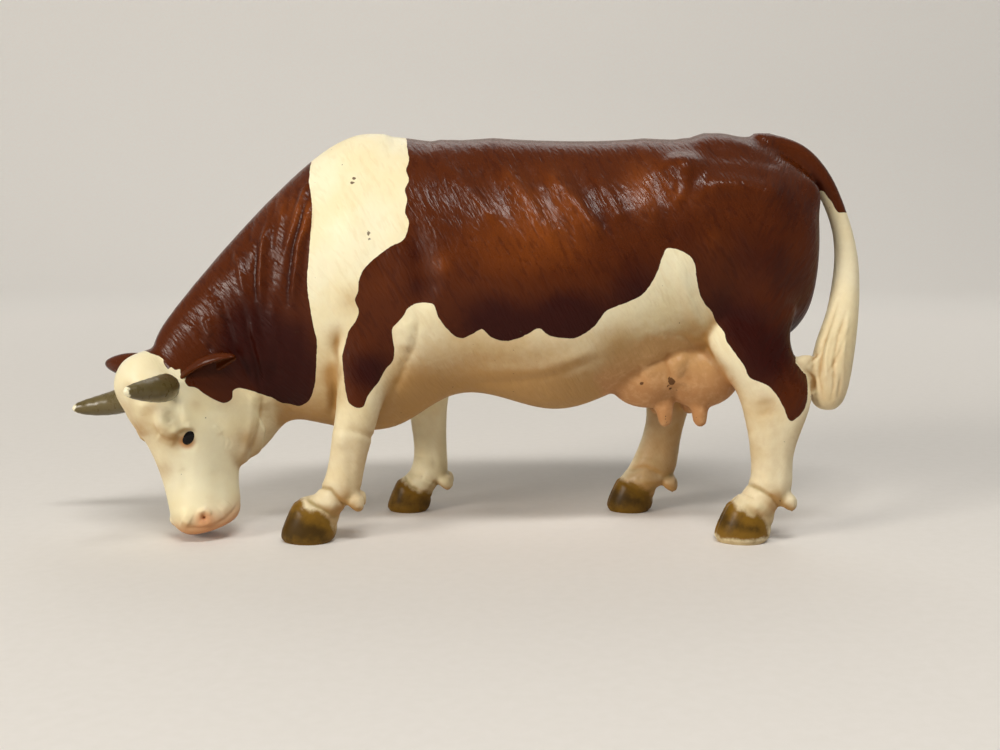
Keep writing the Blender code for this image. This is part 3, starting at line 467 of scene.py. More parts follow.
# Folds of each lower leg and the olive paint of its hoof, both as the camera sees them
LEG_FOLDS_PX = {
    "left_foreleg": (
        (0.25, 2.2, ((375, 439), (360, 433), (348, 430))),
        (-0.28, 6.0, ((340, 432), (341, 448))),
        (0.16, 4.0, ((353, 443), (350, 470), (353, 492))),
        (-0.38, 5.0, ((314, 498), (324, 503), (336, 509))),
        (0.38, 2.2, ((316, 486), (330, 490), (340, 502), (348, 508))),
        (0.24, 2.0, ((307, 500), (316, 506), (330, 514))),
    ),
    "left_hindleg": (
        (0.25, 10.0, ((765, 400), (768, 418))),
        (0.38, 2.4, ((747, 484), (760, 490), (772, 498), (779, 507))),
        (-0.32, 5.0, ((736, 497), (748, 502), (760, 510))),
        (0.16, 4.0, ((775, 430), (778, 460), (776, 485))),
        (-0.22, 4.0, ((756, 430), (752, 455), (750, 475))),
        (0.20, 2.0, ((733, 492), (744, 494), (756, 500))),
    ),
    "right_foreleg": (
        (0.34, 2.0, ((404, 477), (411, 487), (419, 491))),
        (0.16, 3.6, ((434, 420), (431, 445), (434, 470))),
        (-0.28, 5.0, ((424, 474), (434, 482))),
        (0.20, 2.0, ((414, 474), (426, 478), (440, 486))),
    ),
    "right_hindleg": (
        (0.32, 2.8, ((628, 470), (645, 468), (662, 476))),
        (0.16, 3.6, ((661, 420), (658, 440), (660, 458))),
        (-0.28, 4.5, ((640, 476), (652, 482), (664, 484))),
    ),
}
HOOF_PX = {
    "left_foreleg": (
        (296, 496), (303, 501), (306, 507), (310, 512), (318, 511), (325, 515), (330, 521), (334, 526),
        (336, 532), (336, 550), (272, 550), (272, 515),
    ),
    "left_hindleg": (
        (726, 498), (733, 503), (737, 509), (745, 510), (749, 515), (754, 517), (759, 515), (764, 519),
        (768, 527), (768, 537), (750, 541), (732, 541), (722, 538), (714, 534), (700, 520), (712, 500),
    ),
    "right_foreleg": (
        (398, 478), (405, 481), (411, 490), (418, 492), (425, 491), (434, 494), (440, 500), (438, 515),
        (395, 515), (383, 505), (388, 486),
    ),
    "right_hindleg": (
        (612, 476), (622, 480), (632, 481), (640, 486), (647, 490), (652, 497), (656, 516), (600, 516),
        (598, 490),
    ),
}
UDDER_PX = (
    (594, 378), (600, 368), (608, 361), (620, 351), (640, 339), (660, 333), (680, 335), (700, 345),
    (715, 359), (726, 373), (737, 390), (735, 430), (650, 440), (606, 400),
)
UDDER_FOLDS_PX = (
    (-0.45, 22.0, ((640, 372), (690, 374))),
    (-0.70, 7.0, ((676, 358), (677, 386))),
    (0.30, 4.0, ((596, 372), (608, 359), (622, 347), (640, 338), (660, 333), (682, 336), (702, 347))),
    (0.24, 4.0, ((702, 347), (716, 361), (730, 378))),
    (-0.30, 6.0, ((638, 364), (650, 356), (660, 352))),
    (-0.28, 6.0, ((678, 354), (686, 360), (696, 370))),
    (0.16, 3.0, ((632, 374), (646, 378), (660, 377), (672, 374), (690, 379), (702, 380))),
    (0.14, 3.2, ((668, 350), (667, 362), (668, 374))),
)
TAIL_FOLDS_PX = (
    (-0.90, 7.0, ((750, 143), (762, 143), (776, 151))),
    (0.26, 2.0, ((838, 300), (829, 328), (822, 350), (819, 378), (823, 401))),
    (0.22, 1.8, ((846, 312), (838, 336), (834, 360), (834, 385), (831, 402))),
    (0.24, 2.2, ((816, 346), (813, 372), (815, 394))),
    (-0.28, 2.4, ((848, 320), (843, 350), (841, 380))),
    (-0.28, 2.4, ((832, 330), (826, 356), (826, 384))),
    (0.20, 1.8, ((848, 330), (840, 352), (829, 372))),
    (0.18, 1.8, ((843, 350), (841, 376), (838, 398))),
    (0.18, 1.8, ((826, 336), (818, 352), (808, 366))),
    (0.30, 2.2, ((806, 368), (814, 378), (812, 396))),
)
# Flecks of dark paint and rubbed dirt: radius in millimetres, then the middle
SCUFFS_PX = (
    (0.30, (638.5, 384)), (0.50, (673, 381.5)), (0.20, (669.5, 388)), (0.20, (672.5, 389.5)),
    (0.20, (675.5, 391.5)), (0.42, (367.5, 231)), (0.34, (368.8, 236)), (0.20, (353, 176)),
    (0.20, (351.5, 180)),
)
EYE_PX = (188.5, 438.5)
NOSTRIL_PX = (204, 519)

# Painted light and shade: where the brown is painted lighter and warmer, as lit (above zero), or deeper, as
# shaded (below), and where the cream is painted with tan shade: amount, radius, middle
BROWN_PAINTED_LIGHT_AND_SHADE_PX = (
    (0.7, 30, (645, 185)), (0.6, 60, (520, 250)), (0.5, 14, (440, 262)), (0.5, 18, (710, 240)),
    (0.6, 25, (296, 212)), (0.5, 40, (560, 215)), (0.3, 20, (700, 200)), (0.3, 22, (380, 285)),
    (-0.4, 16, (414, 250)), (-0.4, 16, (418, 285)), (-0.4, 24, (690, 232)), (-0.7, 34, (768, 350)),
    (-0.8, 40, (500, 322)), (-0.8, 40, (570, 322)), (-0.5, 30, (636, 290)), (-0.9, 44, (275, 365)),
    (-0.3, 34, (775, 250)), (-0.5, 30, (240, 330)), (-0.8, 22, (368, 372)), (-0.6, 26, (735, 320)),
    (-0.4, 30, (798, 200)),
)
CREAM_PAINTED_SHADE_PX = (
    (0.55, 12, (334, 372)), (0.3, 14, (337, 338)), (0.35, 14, (350, 300)), (0.25, 10, (343, 395)),
    (0.35, 16, (766, 408)), (0.2, 14, (690, 330)), (0.3, 22, (620, 345)), (0.16, 60, (480, 380)),
    (0.25, 50, (560, 385)), (0.35, 24, (412, 385)), (0.4, 10, (775, 500)), (0.3, 12, (345, 500)),
)
HEAD_PAINTED_SHADE_PX = (
    (0.25, 10, (158, 410)), (0.20, 8, (150, 408)), (0.35, 9, (196, 404)), (0.45, 7, (177, 442)),
    (0.25, 8, (160, 430)), (0.30, 14, (225, 395)), (0.35, 8, (128, 385)), (0.15, 18, (232, 470)),
    (0.30, 10, (165, 470)), (0.40, 8, (137, 430)), (0.40, 12, (246, 440)), (0.25, 12, (212, 500)),
)

# Colours, sRGB

CREAM_HEX = "F4ECCB"
CREAM_AGED_HEX = "EBD9A6"
CREAM_GROOVE_HEX = "C9A264"
# Painted shade in the cream's creases
CREAM_CREASE_SHADE_HEX = "8F6730"
# Painted tan shade on the cream: underneath, in broad hollows and down the legs
TAN_SHADE_HEX = "A87A3E"
BROWN_HEX = "502105"
# Painted light and shade on the brown: deep brown below and at shaded spots, which is also the wash in the
# hair; warm brown where lit, on ridges and in thin patches
BROWN_SHADE_AND_WASH_HEX = "2E0600"
LIT_AND_THIN_BROWN_HEX = "7E3E10"
# Painted shade in the brown's creases
BROWN_CREASE_SHADE_HEX = "2C0902"
UDDER_HEX = "BC9462"
UDDER_PINK_HEX = "B48254"
UDDER_LIGHT_HEX = "D0A678"
# Painted shade in the udder's creases
UDDER_CREASE_SHADE_HEX = "A5703F"
TEAT_END_HEX = "D6AE82"
MUZZLE_HEX = "CE9062"
# Painted shade at the lips and round the nostril
MUZZLE_SHADE_HEX = "9C5C2C"
EYE_RING_HEX = "C47A34"
EYE_HEX = "0C0806"
EYE_CLOUD_HEX = "140B07"
HOOF_HEX = "7C5B1C"
HOOF_DARK_HEX = "3C2A0A"
HOOF_BRIM_HEX = "86702F"
HORN_HEX = "61532E"
HORN_DARK_HEX = "3C361C"
HORN_WORN_HEX = "6C6342"
SPECK_HEX = "3A2A18"
SCUFF_HEX = "4A2810"
FLOOR_HEX = "DBD7D0"
FLOOR_LIGHT_HEX = "DFDBD5"
WALL_HEX = "E2DFDA"


def linear(code):
    """An sRGB hex code as linear colour."""
    values = [int(code[k : k + 2], 16) / 255 for k in (0, 2, 4)]
    return tuple(v / 12.92 if v <= 0.04045 else ((v + 0.055) / 1.055) ** 2.4 for v in values) + (1.0,)


# Cages, as in the frame

def from_bmesh(name, bm):
    bmesh.ops.recalc_face_normals(bm, faces=bm.faces)
    mesh = bpy.data.meshes.new(name)
    bm.to_mesh(mesh)
    bm.free()
    obj = bpy.data.objects.new(name, mesh)
    bpy.context.scene.collection.objects.link(obj)
    return obj


def side_of(name):
    """The left side is at negative y."""
    return -1 if name.startswith("left") else 1


def ball_form(shape, fineness):
    """A unit ball, carried to its size and place."""
    segments, rings = fineness
    bpy.ops.mesh.primitive_uv_sphere_add(segments=segments, ring_count=rings, radius=1)
    ball = bpy.context.object
    ball.data.transform(shape)
    return ball


def loft(name, rings):
    bm = bmesh.new()
    rows = [[bm.verts.new(point) for point in ring] for ring in rings]
    count = len(rows[0])
    for row, following in zip(rows, rows[1:]):
        for k in range(count):
            bm.faces.new((row[k], row[(k + 1) % count], following[(k + 1) % count], following[k]))
    bm.faces.new(rows[0])
    bm.faces.new(rows[-1])
    return from_bmesh(name, bm)


def finished_mesh(obj):
    graph = bpy.context.evaluated_depsgraph_get()
    mesh = bpy.data.meshes.new_from_object(obj.evaluated_get(graph))
    mesh.transform(obj.matrix_world)
    obj.modifiers.clear()
    obj.matrix_world = Matrix.Identity(4)
    obj.data = mesh
    return obj


def softened(obj, levels=FORM_LEVELS):
    soft = obj.modifiers.new("soft form", "SUBSURF")
    soft.levels = levels
    soft.render_levels = levels
    return finished_mesh(obj)


ACROSS = Vector((0, 1, 0))
AHEAD = Vector((1, 0, 0))


def ring_about(centre, across, up, half_width, half_up, half_down, count=RING_POINTS):
    points = []
    for k in range(count):
        angle = 2 * math.pi * k / count
        rise = math.sin(angle) * (half_up if math.sin(angle) > 0 else half_down)
        points.append(centre + across * (half_width * math.cos(angle)) + up * rise)
    return points


def station_ring(top, bottom, half_width, widest):
    up = top - bottom
    height = up.length
    centre = bottom + up * widest
    above = height * (1 - widest)
    return ring_about(centre, ACROSS, up / height, half_width, above, height * widest)


def trunk_point(x_share, z_share, y=0.0):
    return Vector((CHEST_X + x_share * TRUNK_LENGTH, y, z_share * BACK_HEIGHT))


def trunk_form():
    belly_lift = BELLY_CLEARANCE - min(row[3] for row in TRUNK_SHARES[5:9]) * BACK_HEIGHT
    rings = []
    for top_x, top_z, low_x, low_z, half, widest in TRUNK_SHARES:
        low = trunk_point(low_x, low_z) + Vector((0, 0, belly_lift))
        rings.append(station_ring(trunk_point(top_x, top_z), low, half * BARREL_WIDTH / 2, widest))
    for top_x, top_z, low_x, low_z, half, widest, swing in NECK_SHARES:
        aside = -swing * HEAD_SWING
        top = Vector((CHEST_X - top_x * NECK_REACH, aside, top_z * BACK_HEIGHT))
        low = Vector((CHEST_X - low_x * NECK_REACH, aside, low_z * BACK_HEIGHT))
        rings.append(station_ring(top, low, half * NECK_WIDTH / 2, widest))
    return softened(loft("trunk form", rings))


def mass_forms():
    forms = []
    for x, z, out, length, height, thickness, lean in MASS_SHARES:
        for side in (-1, 1):
            centre = trunk_point(x, z, side * out * BARREL_WIDTH / 2)
            size = Matrix.Diagonal((*(BARREL_WIDTH * v / 2 for v in (length, thickness * 2, height)), 1))
            turn = Matrix.Rotation(math.radians(lean), 4, "Y")
            forms.append(ball_form(Matrix.Translation(centre) @ turn @ size, BALL_FINENESS))
    return forms


def limb_form(name, shares, side):
    rings = []
    for z, x, depth, width, out in shares:
        centre = trunk_point(x, z, side * out * STANCE_WIDTH / 2)
        half = depth * CANNON_DEPTH / 2
        breadth = width * CANNON_WIDTH / 2
        rings.append(ring_about(centre, ACROSS, AHEAD, breadth, half, half, LIMB_RING_POINTS))
    return softened(loft(name, rings))


def hoof_form(name, side):
    place, size = HOOF_PLACE_SHARES[name]
    middle = CHEST_X + place * TRUNK_LENGTH
    rings = []
    for height, toe, heel, half_width in HOOF_SHARES:
        ahead = -toe * HOOF_LENGTH * size
        behind = heel * HOOF_LENGTH * size
        centre = Vector((middle, side * STANCE_WIDTH / 2, height * HOOF_HEIGHT * size))
        half = half_width * HOOF_WIDTH * size / 2
        rings.append(ring_about(centre, ACROSS, AHEAD, half, behind, ahead, LIMB_RING_POINTS))
    return softened(loft(name + " hoof", rings))


def tapered(name, path, radii, flat=1.0, count=10, levels=FORM_LEVELS):
    rings = []
    start = (path[1] - path[0]).normalized()
    across = ACROSS.cross(start)
    if across.length < 0.3:
        across = AHEAD.cross(start)
    for k, (point, radius) in enumerate(zip(path, radii)):
        before = path[max(k - 1, 0)]
        after = path[min(k + 1, len(path) - 1)]
        along = (after - before).normalized()
        across = (across - along * across.dot(along)).normalized()
        rings.append(ring_about(point, along.cross(across), across, radius * flat, radius, radius, count))
    return softened(loft(name, rings), levels)


def dewclaw_forms(name, shares, side):
    z, x, depth, _, out = shares[-3]
    apart, behind = DEWCLAW_PLACE_SHARES
    run_x, run_y, run_z = DEWCLAW_RUN_SHARES
    radii = [DEWCLAW_LENGTH * share for share in DEWCLAW_TAPER_SHARES]
    forms = []
    for k in (-1, 1):
        back = trunk_point(x, z, side * out * STANCE_WIDTH / 2 + k * CANNON_WIDTH * apart)
        back.x += depth * CANNON_DEPTH * behind
        tip = back + Vector((run_x, run_y * k, run_z)).normalized() * DEWCLAW_LENGTH
        forms.append(tapered(name + " dewclaw", [back, (back + tip) / 2, tip], radii))
    return forms


def head_axes():
    """The head's place: its poll, and unit vectors to the muzzle, to the left and out of the forehead."""
    left = Vector((math.sin(HEAD_YAW), -math.cos(HEAD_YAW), 0))
    ahead = Vector((-math.cos(HEAD_YAW), -math.sin(HEAD_YAW), 0))
    down = Vector((0, 0, -1))
    along = down * math.cos(HEAD_TILT) - ahead * math.sin(HEAD_TILT)
    face = ahead * math.cos(HEAD_TILT) + down * math.sin(HEAD_TILT)
    roll = Matrix.Rotation(HEAD_ROLL, 3, face)
    if (roll @ left).z < 0:
        roll = Matrix.Rotation(-HEAD_ROLL, 3, face)
    along = roll @ along
    left = roll @ left
    poll_height = MUZZLE_CLEARANCE - along.z * MUZZLE_END_SHARE * HEAD_LENGTH
    poll = Vector((CHEST_X - NECK_REACH * POLL_REACH_SHARE, -HEAD_SWING, poll_height))
    return poll, along, left, face


def head_point(along_share, left_share, face_share):
    poll, along, left, face = head_axes()
    return (
        poll
        + along * (along_share * HEAD_LENGTH)
        + left * (left_share * HEAD_WIDTH / 2)
        + face * (face_share * HEAD_DEPTH)
    )


def head_form():
    left, face = head_axes()[2:]
    rings = []
    for distance, half, front, back in HEAD_SHARES:
        widest = 0.40 if distance < 0.3 else 0.46
        depth = (front - back) * HEAD_DEPTH
        centre = head_point(distance, 0.0, front) - face * (depth * widest)
        breadth = half * HEAD_WIDTH / 2
        rings.append(ring_about(centre, left, face, breadth, depth * widest, depth * (1 - widest)))
    return softened(loft("head form", rings))


def brow_forms():
    forms = []
    along, left, face = head_axes()[1:]
    turn = Matrix((along, left, face)).transposed().to_4x4()
    for side in (-1, 1):
        for down, out, off, size in BROW_SHARES:
            shape = Matrix.Diagonal((*(size * HEAD_WIDTH * share for share in BROW_FORM_SHARES), 1))
            place = Matrix.Translation(head_point(down, side * out, off))
            forms.append(ball_form(place @ turn @ shape, BROW_FINENESS))
    return forms


def joined(name, objects):
    bm = bmesh.new()
    for obj in objects:
        bm.from_mesh(obj.data)
        bpy.data.objects.remove(obj, do_unlink=True)
    return from_bmesh(name, bm)


def skinned(obj, cell, smooth_steps):
    remesh = obj.modifiers.new("one skin", "REMESH")
    remesh.mode = "VOXEL"
    remesh.voxel_size = cell
    smooth = obj.modifiers.new("smoothed", "SMOOTH")
    smooth.factor = 0.5
    smooth.iterations = smooth_steps
    return finished_mesh(obj)


# Sculpting with arrays

class Clay:
    """A mesh as arrays, in metres, that detail is pushed into along its normals."""

    def __init__(self, obj):
        mesh = obj.data
        self.obj = obj
        count = len(mesh.vertices)
        self.points = np.empty(count * 3)
        mesh.vertices.foreach_get("co", self.points)
        self.points = self.points.reshape(-1, 3)
        self.edges = np.empty(len(mesh.edges) * 2, dtype=np.int64)
        mesh.edges.foreach_get("vertices", self.edges)
        self.edges = self.edges.reshape(-1, 2)
        mesh.calc_loop_triangles()
        self.faces = np.empty(len(mesh.loop_triangles) * 3, dtype=np.int64)
        mesh.loop_triangles.foreach_get("vertices", self.faces)
        self.faces = self.faces.reshape(-1, 3)
        self.valence = np.bincount(self.edges.ravel(), minlength=count)

    def normals(self):
        a, b, c = (self.points[self.faces[:, k]] for k in range(3))
        weight = np.cross(b - a, c - a)
        total = np.zeros_like(self.points)
        for k in range(3):
            for axis in range(3):
                total[:, axis] += np.bincount(self.faces[:, k], weight[:, axis], len(total))
        return total / (np.linalg.norm(total, axis=1, keepdims=True) + 1e-20)

    def neighbours(self, values):
        """The mean of each vertex's neighbours."""
        wide = values.reshape(len(values), -1)
        total = np.empty_like(wide)
        a, b = self.edges.T
        for k in range(wide.shape[1]):
            total[:, k] = np.bincount(a, wide[b, k], len(wide)) + np.bincount(b, wide[a, k], len(wide))
        return (total / self.valence[:, None]).reshape(values.shape)

    def relaxed(self, values, rounds):
        for _ in range(rounds):
            values = (values + self.neighbours(values)) / 2
        return values

    def polish(self, rounds):
        """Smooths away the voxel steps, in and out by turns, so the form doesn't shrink."""
        for step in [0.5, -0.52] * rounds:
            self.points = self.points + (self.neighbours(self.points) - self.points) * step

    def push(self, depth):
        """Moves each point out along its normal by depth, in metres."""
        self.points = self.points + self.normals() * depth[:, None]

    def hollows(self, rounds):
        """How far each point lies below its surroundings, in millimetres."""
        gap = self.relaxed(self.points, rounds) - self.points
        return (gap * self.normals()).sum(axis=1) / MM


CURVE_STEPS = 4
FAR_AWAY = 1e6
OUTSIDE = -99.0


def seen_px(points, far_side=False):
    """Where the photograph's camera sees each point; the far side is read in a mirror at y = 0."""
    shown = points.copy()
    if far_side:
        shown[:, 1] = -np.abs(shown[:, 1])
    ahead = shown[:, 1] - CAMERA_PLACE.y
    up = shown[:, 2] - CAMERA_PLACE.z
    depth = ahead * math.cos(CAMERA_DIP) - up * math.sin(CAMERA_DIP)
    rise = ahead * math.sin(CAMERA_DIP) + up * math.cos(CAMERA_DIP)
    u = PHOTO_SIZE_PX[0] / 2 + FOCAL_PX * (shown[:, 0] - CAMERA_PLACE.x) / depth
    v = PHOTO_SIZE_PX[1] / 2 - FOCAL_PX * rise / depth
    return np.stack((u, v), axis=1)


def rounded(outline):
    """A closed smooth curve through the outline's points, whose slopes are held in by the shorter side."""
    outline = np.array(outline, dtype=float)
    before, after = (np.roll(outline, k, axis=0) for k in (1, -1))
    back, ahead = (np.linalg.norm(outline - other, axis=1, keepdims=True) for other in (before, after))
    slope = (after - before) * np.minimum(back, ahead) / (back + ahead)
    following = np.roll(slope, -1, axis=0)
    curve = []
    for t in np.arange(CURVE_STEPS) / CURVE_STEPS:
        curve.append(
            outline * (2 * t**3 - 3 * t**2 + 1)
            + slope * (t**3 - 2 * t**2 + t)
            + after * (3 * t**2 - 2 * t**3)
            + following * (t**3 - t**2)
        )
    return np.stack(curve, axis=1).reshape(-1, 2)


def line_distance(place, line):
    """Distance to an open line, and how far along it the nearest point lies, from 0 to 1."""
    line = np.array(line, dtype=float)
    lengths = np.linalg.norm(np.diff(line, axis=0), axis=1)
    total = max(lengths.sum(), 1e-9)
    best = np.full(len(place), np.inf)
    where = np.zeros(len(place))
    run = 0.0
    for a, b, length in zip(line, line[1:], lengths):
        along = b - a
        t = np.clip(((place - a) @ along) / max(along @ along, 1e-9), 0, 1)
        gap = np.linalg.norm(place - a - t[:, None] * along, axis=1)
        closer = gap < best
        best = np.where(closer, gap, best)
        where = np.where(closer, (run + t * length) / total, where)
        run += length
    return best, where


def inside_distance(place, outline):
    """Signed distance to a closed outline, positive inside."""
    curve = rounded(outline)
    best = np.full(len(place), np.inf)
    crossings = np.zeros(len(place), dtype=bool)
    for a, b in zip(curve, np.roll(curve, -1, axis=0)):
        along = b - a
        t = np.clip(((place - a) @ along) / max(along @ along, 1e-9), 0, 1)
        best = np.minimum(best, np.linalg.norm(place - a - t[:, None] * along, axis=1))
        if a[1] != b[1]:
            spans = (a[1] > place[:, 1]) != (b[1] > place[:, 1])
            cross_x = a[0] + (place[:, 1] - a[1]) * along[0] / along[1]
            crossings ^= spans & (place[:, 0] < cross_x)
    return np.where(crossings, best, -best)


def fold_depth(place, folds):
    """The depth of all folds at each place, in metres: every fold fades towards its ends."""
    depth = np.zeros(len(place))
    for fold, half_width, line in folds:
        gap, where = line_distance(place, line)
        fade = np.clip(np.minimum(where, 1 - where) * 5 + 0.25, 0, 1)
        depth -= fold * MM * fade * np.exp(-((gap / half_width) ** 2))
    return depth


def ramp(values, low, high):
    t = np.clip((values - low) / (high - low), 0, 1)
    return t * t * (3 - 2 * t)


def spot(place, centre, radius):
    return np.exp(-(np.linalg.norm(place - np.array(centre, dtype=float), axis=1) / radius) ** 2)


def head_places(points):
    """Each point in the head's own axes: along, to the left, and off the face, in metres."""
    poll, along, left, face = head_axes()
    return (points - np.array(poll)) @ np.array((along, left, face)).T


def on_near_half(points, places):
    """The head's right half, folded over onto its left half."""
    left = np.array(head_axes()[2])
    return points - np.outer(np.minimum(places[:, 1], 0) * 2, left)


# The udder's forms

def udder_balls():
    """The middle and the half sizes of the udder's bag and of its quarters."""
    rows = [BAG_SHARES]
    for along, out, rise, *half in QUARTER_SHARES:
        rows += [(along, side * out, rise, *half) for side in (-1, 1)]
    middle = np.array(trunk_point(*UDDER_PLACE_SHARES))
    size = np.array((UDDER_LENGTH, UDDER_WIDTH, UDDER_DEPTH))
    return [(middle + np.array(row[:3]) * size, np.array(row[3:]) * size) for row in rows]


def teat_paths():
    paths = []
    start = (TEAT_ROOT_SHARE - BAG_FLOOR_SHARE) * UDDER_DEPTH
    for along, out in TEAT_SHARES:
        for side in (-1, 1):
            root = trunk_point(*UDDER_PLACE_SHARES)
            root += Vector((along * UDDER_LENGTH, side * out * UDDER_WIDTH, TEAT_ROOT_SHARE * UDDER_DEPTH))
            fall = Vector((TEAT_LEAN_SHARES[0], side * TEAT_LEAN_SHARES[1], -1)).normalized()
            steps = (0, start, start + TEAT_LENGTH / 2, start + TEAT_LENGTH * 0.92)
            paths.append([root + fall * step for step in steps])
    return paths


def udder_forms():
    forms = []
    for centre, half in udder_balls():
        forms.append(ball_form(Matrix.Translation(centre) @ Matrix.Diagonal((*half, 1)), BALL_FINENESS))
    radii = [TEAT_WIDTH / 2 * share for share in TEAT_TAPER_SHARES]
    forms += [tapered("teat", path, radii) for path in teat_paths()]
    return forms


def udder_reach(points):
    """How far inside the udder each point lies, in millimetres: below zero it lies outside."""
    reach = np.full(len(points), OUTSIDE)
    for centre, half in udder_balls():
        radius = np.linalg.norm((points - centre) / half, axis=1)
        reach = np.maximum(reach, (UDDER_ROOM_SHARE - radius) * half.min() / MM)
    for path in teat_paths():
        gap, _ = line_distance(points, np.array(path))
        reach = np.maximum(reach, (TEAT_WIDTH - gap) / MM)
    return reach


# The tail's forms

def tail_point(behind, drop, swing):
    root = trunk_point(*TAIL_ROOT_SHARES)
    return root + Vector((behind * TAIL_STANDOFF, -swing * STANCE_WIDTH / 2, -drop * TAIL_DROP))


def tail_lines():
    """The tail's and the web's middle lines, each with its radii."""
    path, radii = [], []
    for width, table in ((TAIL_WIDTH, TAIL_SHARES), (TUFT_WIDTH, TUFT_SHARES)):
        for behind, drop, share, swing in table:
            path.append(tail_point(behind, drop, swing))
            radii.append(share * width / 2)
    web_radii = [TUFT_WIDTH * share / 2 for share in WEB_TAPER_SHARES]
    return (path, radii), ([tail_point(*place) for place in WEB_SHARES], web_radii)


def tail_forms():
    (path, radii), (web, web_radii) = tail_lines()
    flat = WEB_THICKNESS / (TUFT_WIDTH * min(WEB_TAPER_SHARES))
    return [tapered("tail", path, radii, count=12), tapered("web", web, web_radii, flat=flat)]


def tail_reach(points):
    """How far inside the tail each point lies, in millimetres: below zero it lies outside."""
    reach = np.full(len(points), OUTSIDE)
    for path, radii in tail_lines():
        gap, where = line_distance(points, np.array(path))
        steps = np.cumsum([0.0] + [(b - a).length for a, b in zip(path, path[1:])])
        radius = np.interp(where, steps / steps[-1], radii)
        reach = np.maximum(reach, (radius * TAIL_ROOM_SHARE - gap) / MM)
    return reach


# The hide

def hide_master():
    """All forms in one skin: this is the clay that the folds are pushed into."""
    body = skinned(joined("body", [trunk_form()] + mass_forms()), BODY_CELL, BODY_SMOOTH_STEPS)
    forms = [body, head_form()] + brow_forms() + udder_forms() + tail_forms()
    for name, shares in LEG_SHARES.items():
        side = side_of(name)
        forms.append(limb_form(name, shares, side))
        forms.append(hoof_form(name, side))
        forms += dewclaw_forms(name, shares, side)
    hide = skinned(joined("hide", forms), SKIN_CELL, SKIN_SMOOTH_STEPS)
    refine(hide)
    return Clay(hide)


def refine(hide):
    """Splits the faces of the head, the tail and the lower legs once more."""
    bm = bmesh.new()
    bm.from_mesh(hide.data)
    points = np.array([vert.co[:] for vert in bm.verts])
    places = head_places(points)
    on_head = (places[:, 0] > FINE_HEAD_START) & (places[:, 0] < FINE_HEAD_END)
    on_head &= (places[:, 2] > FINE_OFF_FACE) & (points[:, 0] < LEGS_START)
    on_leg = (points[:, 2] < FINE_LEG_TOP) & (points[:, 0] > FINE_LEG_START)
    fine = on_head | on_leg | (tail_reach(points) > FINE_TAIL_MARGIN_MM)
    edges = [edge for edge in bm.edges if fine[edge.verts[0].index] and fine[edge.verts[1].index]]
    bmesh.ops.subdivide_edges(bm, edges=edges, cuts=1, use_grid_fill=True)
    bmesh.ops.triangulate(bm, faces=bm.faces)
    bm.to_mesh(hide.data)
    bm.free()


def leg_rooms(points):
    """Which points lie in the room of each lower leg, as the frame's seams part them."""
    rooms = {}
    for name, shares in LEG_SHARES.items():
        side = side_of(name)
        seam = KNEE_SEAM_SHARE if "fore" in name else HOCK_SEAM_SHARE
        place, size = HOOF_PLACE_SHARES[name]
        nearest = min(shares, key=lambda row: abs(row[0] - seam))
        limb = trunk_point(nearest[1], 0).x
        reach = nearest[2] * CANNON_DEPTH / 2 + ROOM_MARGIN
        front = CHEST_X + place * TRUNK_LENGTH - HOOF_LENGTH * size
        back = max(trunk_point(row[1], 0).x + row[2] * CANNON_DEPTH / 2 for row in shares if row[0] < seam)
        back += DEWCLAW_LENGTH + ROOM_MARGIN
        top = seam * BACK_HEIGHT
        t = np.clip((points[:, 2] - DEWCLAW_LENGTH) / (top - DEWCLAW_LENGTH), 0, 1)
        low_x = front + (limb - reach - front) * t
        high_x = back + (limb + reach - back) * t
        beside = side * points[:, 1] > LEG_ROOM_SHARE * STANCE_WIDTH / 2
        rooms[name] = beside & (points[:, 0] > low_x) & (points[:, 0] < high_x) & (points[:, 2] < top)
    return rooms


def head_room(points):
    """Which points lie before the seam behind the jaw."""
    places = head_places(points)
    a = places[:, 0] / HEAD_LENGTH
    f = places[:, 2] / HEAD_DEPTH
    seam = np.interp(a, *zip(*HEAD_SEAM_SHARES))
    ends = (a > HEAD_SEAM_SHARES[0][0]) & (a < 1.3)
    return ends & (f > seam) & (points[:, 0] < HEAD_ROOM_END) & ~leg_rooms(points)["left_foreleg"]


